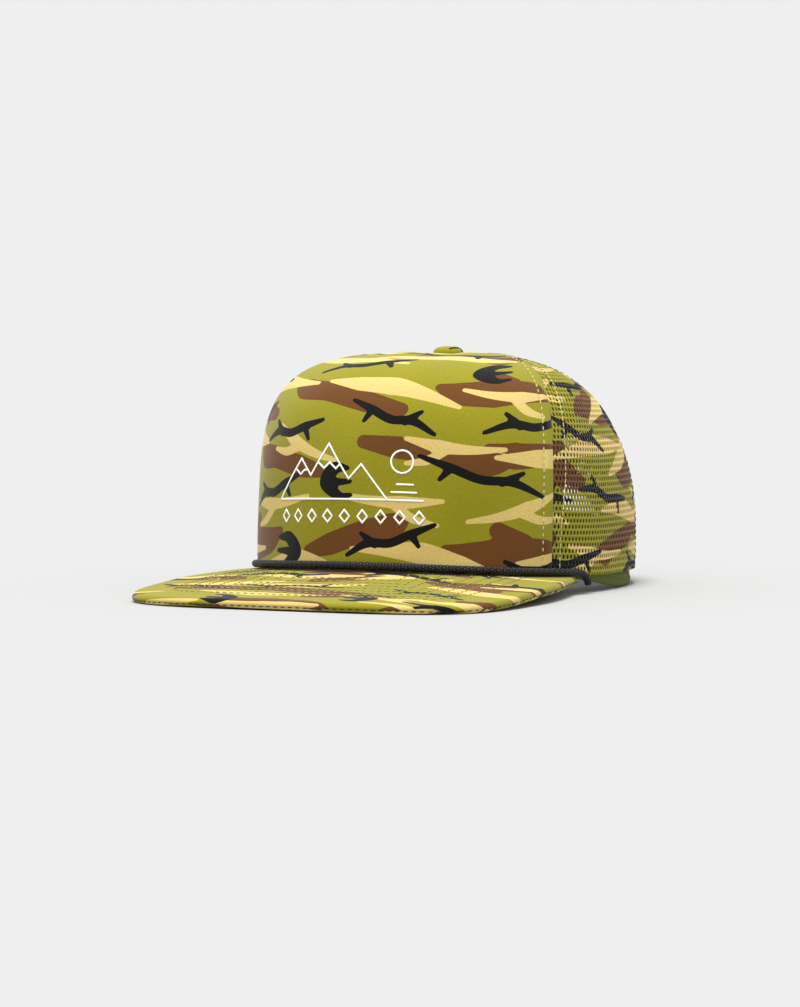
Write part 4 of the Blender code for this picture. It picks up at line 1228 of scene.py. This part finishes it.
@dataclass
class ArchBinding:
    """The folded tape round the rear arch, with its row of stitches."""
    wardrobe: Wardrobe
    outer: float = -0.00055
    inner: float = 0.00135
    leg: float = 0.0065
    thick: float = 0.0005
    stitch_depth: float = 0.0052  # from the edge to the stitches

    def spot(self, angle: np.ndarray, depth: np.ndarray, inset: np.ndarray) -> np.ndarray:
        """Points beside the arch's edge.

        Args:
            angle: place along the edge.
            depth: distance from the edge into the cloth.
            inset: depth below the crown's face.

        Returns:
            The points.
        """
        azimuth, rise = CROWN.arch_edge(angle)
        step = 0.01
        after = CROWN.arch_edge(np.minimum(angle + step, math.pi))
        before = CROWN.arch_edge(np.maximum(angle - step, 0.0))
        radius = CROWN.radius(azimuth, rise)
        along = np.stack(((after[0] - before[0]) * radius, after[1] - before[1]), axis=-1)
        along /= np.linalg.norm(along, axis=-1, keepdims=True)
        turn = azimuth - along[..., 1] * depth / radius
        return CROWN.point(turn, np.maximum(rise + along[..., 0] * depth, 0.0), inset)

    def build(self) -> None:
        """Make the binding and its stitches."""
        middle, round_off = (self.outer + self.inner) / 2.0, (self.inner - self.outer) / 2.0

        def place(u: np.ndarray, v: np.ndarray) -> np.ndarray:
            """Outer leg, round the edge, inner leg."""
            turn = np.clip((v - 0.38) / 0.24, 0.0, 1.0) * math.pi
            leg = np.where(v < 0.38, 1.0 - v / 0.38, np.where(v > 0.62, (v - 0.62) / 0.38, 0.0)) * self.leg
            swell = 0.00025 * np.sin(math.pi * leg / self.leg)
            inset = middle - (round_off + swell) * np.cos(turn)
            return self.spot(u * math.pi, leg - round_off * np.sin(turn), inset)
        binding = patch("arch_tape", 120, 26, place)
        grid = read(binding.data, "grid")
        TRIM_CAMO.paint(binding.data, -60.0 + 120.0 * grid[:, 0], 40.0 + 16.0 * grid[:, 1])
        thicken(binding, self.thick)
        finished(binding, self.wardrobe.knit, replaces=("arch_binding",))
        angle = np.linspace(0.02, math.pi - 0.02, 200)
        depth = np.full(len(angle), self.stitch_depth)
        rows = [self.spot(angle, depth, np.full(len(angle), inset))
                for inset in (self.outer - 0.00030, self.inner + 0.00030)]
        sew("arch_stitches", rows, self.wardrobe.olive_thread, length=0.0022, gap=0.0008, radius=0.00022)


@dataclass
class Brim:
    """The flat brim: its printed covers wrapped over the board, its rows of stitches and its edge seam."""
    wardrobe: Wardrobe
    reach: float = 0.0770
    overhang: float = 0.0060
    widest_ahead: float = 0.0040
    corner_power: float = 3.85
    tip: float = math.radians(67.0)
    tuck: float = 0.0040
    tilt: float = 0.064
    rear_tilt: float = 0.020
    bend: float = 0.0022
    flat_half: float = 0.0300
    ramp: float = 0.0460
    thick: float = 0.0039
    hem_gap: float = 0.0003
    seam_angle: float = math.radians(-22.0)  # where the covers meet on the rounded edge
    row_first: float = 0.0185  # from the edge to the first row of stitches
    row_pitch: float = 0.0065
    row_count: int = 8

    def __post_init__(self) -> None:
        """Work out the outline and the level of the brim."""
        widest, ahead = CROWN.half_length + self.widest_ahead, self.reach - self.widest_ahead
        half = CROWN.half_width + self.overhang
        angles = np.linspace(0.0, math.pi / 2.0, 160)
        forward, sideways = np.abs(np.cos(angles)), np.sin(angles)
        reach = (forward ** self.corner_power + sideways ** self.corner_power) ** (-1.0 / self.corner_power)
        tip_x = float(CROWN.plan_radius(self.tip)) * math.sin(self.tip)
        tip_y = float(CROWN.plan_radius(self.tip)) * math.cos(self.tip)
        back = np.linspace(0.0, 1.0, 60)[1:]
        x = np.concatenate((half * reach * sideways, tip_x + (half - tip_x) * np.cos(back * math.pi / 2.0)))
        y = np.concatenate((widest + ahead * reach * forward, widest + (tip_y - widest) * back))
        self.outline = (np.arctan2(x, y), np.hypot(x, y))
        self.level = self.thick + float(np.max(self.fall(x, y)))

    def fall(self, x: np.ndarray, forward: np.ndarray) -> np.ndarray:
        """Fall of the brim below its level at the crown's front."""
        ahead = forward - CROWN.half_length
        slope = np.where(ahead > 0.0, self.tilt, self.rear_tilt)
        half = CROWN.half_width + self.overhang
        side = np.maximum(np.abs(x) - self.flat_half, 0.0) / (half - self.flat_half)
        return slope * ahead + self.bend * side ** 2

    def edge(self, azimuth: np.ndarray) -> np.ndarray:
        """Radius of the brim's edge."""
        return np.interp(np.abs(azimuth), *self.outline)

    def point(self, azimuth: np.ndarray, radius: np.ndarray, depth: np.ndarray) -> np.ndarray:
        """Points at a depth below the brim's top face."""
        root = CROWN.plan_radius(azimuth) - self.tuck
        root_fall = self.fall(root * np.sin(azimuth), root * np.cos(azimuth))
        lift = CROWN.hem(azimuth) - self.hem_gap - (self.level - root_fall)
        ramp = np.maximum(1.0 - (radius - root) / self.ramp, 0.0) ** 2
        height = self.level - self.fall(radius * np.sin(azimuth), radius * np.cos(azimuth))
        return CROWN.on_plan(azimuth, radius, height + lift * ramp - depth)

    def cover(self, name: str, node: str, top: bool, camo: Camouflage) -> None:
        """Make one cover, from under the crown to the seam on the rounded edge.

        Args:
            name: the cover's name.
            node: the node that it stands for.
            top: whether it is the top cover.
            camo: the print.
        """
        bend = self.thick / 2.0
        across, out, around = 340, 84, 12
        start = math.pi / 2.0 if top else -math.pi / 2.0

        def place(u: np.ndarray, v: np.ndarray) -> np.ndarray:
            """Out from the root, then round the edge."""
            azimuth = (2.0 * u - 1.0) * self.tip
            root, edge = CROWN.plan_radius(azimuth) - self.tuck, self.edge(azimuth)
            step = v * (out + around)
            run = np.minimum(step / out, 1.0)
            angle = start + (self.seam_angle - start) * np.clip((step - out) / around, 0.0, 1.0)
            bite = 0.0003 * hump(angle - self.seam_angle, 0.25)
            radius = root + (edge - bend - root) * run + (bend - bite) * np.cos(angle) * (step > out)
            depth = bend - (bend - bite) * np.sin(angle)
            quilt = self.quilting(azimuth, radius) * (1.0 if top else -1.0)
            return self.point(azimuth, radius, depth + quilt * (step <= out))
        piece = patch(name, across, out + around, place)
        if top:
            piece.data.flip_normals()
        spots = np.zeros(len(piece.data.vertices) * 3, np.float32)
        piece.data.vertices.foreach_get("co", spots)
        spots = spots.reshape(-1, 3).astype(float)
        ahead = CROWN.center_y - spots[:, 1] - CROWN.half_length
        grid = read(piece.data, "grid")
        wrap = np.maximum(grid[:, 1] * (out + around) - out, 0.0) * 0.42
        camo.paint(piece.data, spots[:, 0] / MM, ahead / MM + wrap)
        cut = area_of(piece.data) * 2.0
        thicken(piece, 0.0006)
        finished(piece, self.wardrobe.knit, replaces=(node,))

    def row_offsets(self) -> list[float]:
        """Distances of the rows of stitches from the edge."""
        return [self.row_first + number * self.row_pitch for number in range(self.row_count)]

    def quilting(self, azimuth: np.ndarray, radius: np.ndarray) -> np.ndarray:
        """Depth of the grooves that the rows of stitches pull into the covers."""
        x, forward = radius * np.sin(azimuth), radius * np.cos(azimuth)
        path_x = self.outline[1] * np.sin(self.outline[0])
        path_y = self.outline[1] * np.cos(self.outline[0])
        inside = np.full(len(x), 1.0)
        for edge_x, edge_y in zip(path_x, path_y):
            np.minimum(inside, np.hypot(np.abs(x) - edge_x, forward - edge_y), out=inside)
        depth = np.zeros(len(x))
        for offset in self.row_offsets():
            depth += 0.00016 * hump(inside - offset, 0.0009)
        return depth

    def rows(self, depth: float) -> list[np.ndarray]:
        """Paths of the rows of stitches, side by side with the edge, at a depth below the top face."""
        azimuths = np.concatenate((-self.outline[0][::-1], self.outline[0][1:]))
        radii = np.concatenate((self.outline[1][::-1], self.outline[1][1:]))
        x, y = radii * np.sin(azimuths), radii * np.cos(azimuths)
        along = np.stack((np.gradient(x), np.gradient(y)), axis=1)
        along /= np.linalg.norm(along, axis=1, keepdims=True)
        paths = []
        for offset in self.row_offsets():
            inner_x, inner_y = x + along[:, 1] * offset, y - along[:, 0] * offset
            azimuth, radius = np.arctan2(inner_x, inner_y), np.hypot(inner_x, inner_y)
            clear = (radius > CROWN.plan_radius(azimuth) + 0.0046) & (np.abs(azimuth) < self.tip)
            # A row never comes nearer to the edge than its own distance, so it doesn't loop at a corner.
            near = np.hypot(inner_x[:, None] - x, inner_y[:, None] - y).min(axis=1)
            clear &= near > offset - 0.0004
            runs = np.split(np.arange(len(x)), np.flatnonzero(np.diff(clear.astype(int))) + 1)
            paths += [self.point(azimuth[run], radius[run],
                                 depth) for run in runs if clear[run[0]] and len(run) > 3]
        return paths

    def build(self) -> None:
        """Make both covers, the rows of stitches and the edge seam."""
        self.cover("brim_cover_top", "brim_top_cover", True, BRIM_CAMO)
        self.cover("brim_cover_under", "brim_under_cover", False, UNDER_CAMO)
        sew("brim_stitch_rows", self.rows(-0.00008), self.wardrobe.brim_thread, 0.0022, 0.0013, 0.00030)
        sew("brim_stitch_rows_under", self.rows(self.thick + 0.00004), self.wardrobe.olive_thread, 0.0024,
            0.0011,
            0.00024)
        azimuth = np.linspace(-self.tip * 0.995, self.tip * 0.995, 400)
        bend = self.thick / 2.0
        radius = self.edge(azimuth) - bend + (bend - 0.0002) * math.cos(self.seam_angle)
        seam = self.point(azimuth, radius, bend - bend * math.sin(self.seam_angle))
        sew("brim_edge_seam", [seam], self.wardrobe.rope, 0.0022, 0.0013, 0.00022)


@dataclass
class Rope:
    """The braided cord along the foot of the front panel."""
    wardrobe: Wardrobe
    radius: float = 0.0017
    gap: float = 0.0003
    turn: float = math.radians(66.0)
    tip_degrees: float = 67.0
    ends: tuple[tuple[float, float], ...] = ((1.6, 0.0008), (3.2, 0.0026), (4.0, 0.0048))

    def seat(self, azimuth: np.ndarray, drop: np.ndarray) -> np.ndarray:
        """Points where the cord's middle lies."""
        stand = self.radius + self.gap
        return CROWN.on_plan(azimuth, CROWN.plan_radius(azimuth) + stand,
                             CROWN.hem(azimuth) - self.gap + stand - drop)

    def path(self) -> np.ndarray:
        """The cord's middle line, from one turned-down end to the other."""
        azimuth = np.linspace(-self.turn, self.turn, 121)
        middle = self.seat(azimuth, 0.0 * azimuth)
        degrees, drops = (np.array(row) for row in zip(*self.ends))
        after = self.seat(np.radians(self.tip_degrees + degrees), drops)
        before = self.seat(-np.radians(self.tip_degrees + degrees), drops)[::-1]
        return np.concatenate((before, middle, after))

    def build(self) -> None:
        """Make the plaited strands over a plain core."""
        line = self.path()
        cord = line_mesh("rope_braid", [line])
        TREES.run(TREES.braid, cord, Pitch=0.00150, Radius=self.radius, Strands=6, Lean=math.radians(38.0),
                  Material=self.wardrobe.rope)
        finished(cord, self.wardrobe.rope, replaces=("rope",))
        curve = bpy.data.curves.new("rope_core", "CURVE")
        curve.dimensions = "3D"
        curve.bevel_depth = self.radius * 0.70
        curve.bevel_resolution = 3
        curve.use_fill_caps = True
        spline = curve.splines.new("POLY")
        spline.points.add(len(line) - 1)
        for spot, place in zip(spline.points, line):
            spot.co = (*place, 1.0)
        holder = bpy.data.objects.new("rope_core_curve", curve)
        bpy.context.scene.collection.objects.link(holder)
        graph = bpy.context.evaluated_depsgraph_get()
        mesh = bpy.data.meshes.new_from_object(holder.evaluated_get(graph), depsgraph=graph)
        bpy.data.objects.remove(holder)
        core = link_object("rope_core", mesh)
        tidy(core, 1e-5)
        finished(core, self.wardrobe.rope)


@dataclass
class Button:
    """The fabric-covered button on top: a dome with the cloth gathered into shallow pleats near its rim."""
    wardrobe: Wardrobe
    pleats: int = 14

    def build(self) -> None:
        """Make the covered dome."""
        low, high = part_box("button_cover")
        radius, height = (high.x - low.x) / 2.0, high.z - low.z

        def place(u: np.ndarray, v: np.ndarray) -> np.ndarray:
            """Turn the dome's profile, with shallow pleats near the rim."""
            turn = 2.0 * math.pi * u
            angle = v * math.pi / 2.0
            across = radius * np.maximum(np.cos(angle), 0.0) ** 0.7
            pleat = 1.0 + 0.018 * np.cos(self.pleats * turn) * (1.0 - ease(v, 0.0, 0.55))
            up = low.z + height * np.sin(angle) ** 0.9
            return CROWN.on_plan(turn, across * pleat, up)
        dome = patch("button_cloth", 84, 26, place, closed=True)
        grid = read(dome.data, "grid")
        spread = 8.0 * (1.0 - grid[:, 1])
        turn = 2.0 * math.pi * grid[:, 0]
        TRIM_CAMO.paint(dome.data, spread * np.sin(turn) * 1.6, -spread * np.cos(turn) * 1.2)
        tidy(dome, 0.00002)
        thicken(dome, 0.0005)
        finished(dome, self.wardrobe.knit, replaces=("button_cover",))


@dataclass
class Sweatband:
    """The olive band inside the hem with its rolled lower edge, and the foam pad at the forehead."""
    wardrobe: Wardrobe
    end: float = math.radians(148.0)
    width: float = 0.0310
    front_drop: float = 0.0010
    free_start: float = 62.0
    free_end: float = 105.0
    inset_front: float = 0.0067
    inset_side: float = 0.0029
    inset_rear: float = 0.0037

    def low(self, azimuth: np.ndarray) -> np.ndarray:
        """Height of the lower edge."""
        free = ease(np.degrees(np.abs(azimuth)), self.free_start, self.free_end)
        return (CROWN.hem(azimuth) - self.front_drop) * (1.0 - free)

    def inset(self, azimuth: np.ndarray) -> np.ndarray:
        """Depth below the crown's face: behind the pad, then the mesh, then the strap's ends."""
        degrees = np.degrees(np.abs(azimuth))
        inset = self.inset_front + (self.inset_side - self.inset_front) * ease(degrees, 59.8, 79.8)
        return inset + (self.inset_rear - inset) * ease(degrees, 128.0, 137.0)

    def spot(self, azimuth: np.ndarray, up: np.ndarray, depth: np.ndarray) -> np.ndarray:
        """Points of the band at a height above its lower edge."""
        rise = self.low(azimuth) + up - CROWN.hem(azimuth)
        return CROWN.point(azimuth, rise, self.inset(azimuth) + depth)

    def build(self) -> None:
        """Make the band, its stitches and the forehead pad."""
        def place(u: np.ndarray, v: np.ndarray) -> np.ndarray:
            """The band's outer face, with a soft roll at the lower edge and slight waves along it."""
            azimuth = (2.0 * u - 1.0) * self.end
            up = v * self.width
            roll = 0.0007 * hump(up - 0.0022, 0.0020)
            wave = 0.00018 * np.sin(46.0 * azimuth) * ease(up, 0.002, 0.010)
            return self.spot(azimuth, up, -roll + wave)
        band = patch("sweatband_cloth", 300, 22, place)
        cut = area_of(band.data) * 2.0
        thicken(band, 0.0008)
        finished(band, self.wardrobe.band, replaces=("sweatband",))
        azimuth = np.linspace(-self.end * 0.99, self.end * 0.99, 500)
        rows = [self.spot(azimuth, np.full(500, up), np.full(500, 0.00085)) for up in (0.0050, 0.0285)]
        rows.append(self.spot(azimuth, np.full(500, 0.0050), np.full(500, -0.00010)))
        sew("sweatband_stitches", rows, self.wardrobe.olive_thread, 0.0024, 0.0008, 0.00022)

        def pad_place(u: np.ndarray, v: np.ndarray) -> np.ndarray:
            """The pad's outer face, softly rounded off at its borders."""
            azimuth = (2.0 * u - 1.0) * math.radians(52.0)
            border = np.minimum(np.minimum(u, 1.0 - u) * 0.16, np.minimum(v, 1.0 - v) * 0.025)
            return CROWN.point(azimuth, 0.0010 + v * 0.0250, 0.0038 + 0.0005 * hump(border, 0.0015))
        pad = patch("forehead_foam", 90, 16, pad_place)
        thicken(pad, 0.0020)
        finished(pad, self.wardrobe.foam, replaces=("forehead_pad",))


@dataclass
class Label:
    """The blank satin label that hangs inside from its top edge."""
    wardrobe: Wardrobe

    def build(self) -> None:
        """Make the label as a thin sheet with a slight curl, and the stitches across its top."""
        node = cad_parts["care_label"]
        spots = np.array([corner.co for corner in node.data.vertices], float)
        top, bottom = spots[:, 2].max(), spots[:, 2].min()
        flat = spots[:, :2] - spots[:, :2].mean(axis=0)
        along = np.linalg.svd(flat, full_matrices=False)[2][0]
        middle = spots[:, :2].mean(axis=0)
        half = float(np.abs(flat @ along).max())
        inward = np.array((-along[1], along[0]))
        if inward @ (np.array((0.0, CROWN.center_y)) - middle) < 0.0:
            inward = -inward
        if np.cross(np.append(along, 0.0), (0.0, 0.0, 1.0))[:2] @ inward > 0.0:
            along = -along

        def place(u: np.ndarray, v: np.ndarray) -> np.ndarray:
            """A sheet that curls inwards towards its lower corners."""
            curl = 0.0008 * (1.0 - v) ** 2 + 0.0004 * (2.0 * u - 1.0) ** 2 * (1.0 - v)
            flat_spot = middle + np.outer((2.0 * u - 1.0) * half, along) + np.outer(curl, inward)
            return np.column_stack((flat_spot, bottom + (top - bottom) * v))
        label = patch("blank_label", 24, 24, place)
        thicken(label, 0.00035, 0.0)
        finished(label, self.wardrobe.label, "label", ("care_label",))
        rows = [place(np.linspace(0.06, 0.94, 20), np.full(20, 0.93))]
        sew("label_stitch", rows, self.wardrobe.pale_thread, 0.0016, 0.0006, 0.0003, body="label")


def dress_cad_nodes(wardrobe: Wardrobe) -> None:
    """Give the nodes that stay as they are their real materials."""
    chosen = {
        "brim_board": wardrobe.board, "button_shell": wardrobe.steel, "button_back": wardrobe.steel,
        "snap_strap_holes": wardrobe.plastic, "snap_strap_pegs": wardrobe.plastic,
        "snap_strap_holes_end": wardrobe.plastic, "snap_strap_pegs_end": wardrobe.plastic,
    }
    for name, material in chosen.items():
        dress(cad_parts[name], material)


# ---------------------------------------------------------------- studio

@dataclass
class Studio:
    """A pale floor, soft light and the camera."""
    wardrobe: Wardrobe
    azimuth: float = 26.337
    elevation: float = 2.708
    roll: float = -0.196
    distance: float = 1.5
    lens: float = 114.14
    aim: tuple[float, float, float] = (-0.02049, 0.02931, 0.03814)

    def camera(self) -> None:
        """Stand the camera at its angle."""
        turn, rise = math.radians(self.azimuth), math.radians(self.elevation)
        back = Vector((math.sin(turn) * math.cos(rise), -math.cos(turn) * math.cos(rise), math.sin(rise)))
        camera = bpy.data.objects.new("camera", bpy.data.cameras.new("camera"))
        bpy.context.scene.collection.objects.link(camera)
        camera.data.lens = self.lens
        camera.data.sensor_width = 36.0
        camera.data.clip_start = 0.05
        aimed = (-back).to_track_quat("-Z", "Y").to_matrix().to_4x4()
        place = Matrix.Translation(Vector(self.aim) + back * self.distance)
        camera.matrix_world = place @ aimed @ Matrix.Rotation(math.radians(self.roll), 4, "Z")
        bpy.context.scene.camera = camera

    def light(self, name: str, azimuth: float, elevation: float, strength: float, spread: float) -> None:
        """A soft sun from one direction.

        Args:
            name: the light's name.
            azimuth: where it stands, in degrees, as for the camera.
            elevation: its height, in degrees.
            strength: its irradiance.
            spread: how wide it looks, in degrees.
        """
        data = bpy.data.lights.new(name, "SUN")
        data.energy = strength
        data.angle = math.radians(spread)
        turn, rise = math.radians(azimuth), math.radians(elevation)
        towards = Vector((math.sin(turn) * math.cos(rise), -math.cos(turn) * math.cos(rise), math.sin(rise)))
        lamp = bpy.data.objects.new(name, data)
        lamp.rotation_euler = towards.to_track_quat("Z", "Y").to_euler()
        bpy.context.scene.collection.objects.link(lamp)

    def build(self) -> None:
        """Make the floor, the lights, the world and the camera."""
        shape = bmesh.new()
        bmesh.ops.create_grid(shape, x_segments=8, y_segments=8, size=30.0)
        mesh = bpy.data.meshes.new("floor")
        shape.to_mesh(mesh)
        shape.free()
        floor = link_object("floor", mesh)
        mesh.materials.append(self.wardrobe.floor)
        world = bpy.data.worlds.new("studio")
        bpy.context.scene.world = world
        world.use_nodes = True
        background = world.node_tree.nodes["Background"]
        background.inputs["Color"].default_value = linear("EFEFEF")
        background.inputs["Strength"].default_value = 1.0
        self.light("overhead", 10.0, 76.0, 4.2, 32.0)
        self.light("back_wash", 200.0, 35.0, 0.2, 50.0)
        self.camera()
        bpy.context.scene.view_settings.view_transform = "Standard"


def main() -> None:
    """Build the cap's looks, piece by piece."""
    logging.basicConfig(level=logging.INFO, format="%(message)s")
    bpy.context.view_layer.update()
    wardrobe = Wardrobe()
    Studio(wardrobe).build()
    dress_cad_nodes(wardrobe)
    for part in (FrontPanel, MeshPanels, ArchBinding, Brim, Rope, Button, Sweatband, Label):
        part(wardrobe).build()


if __name__ == "__main__":
    main()
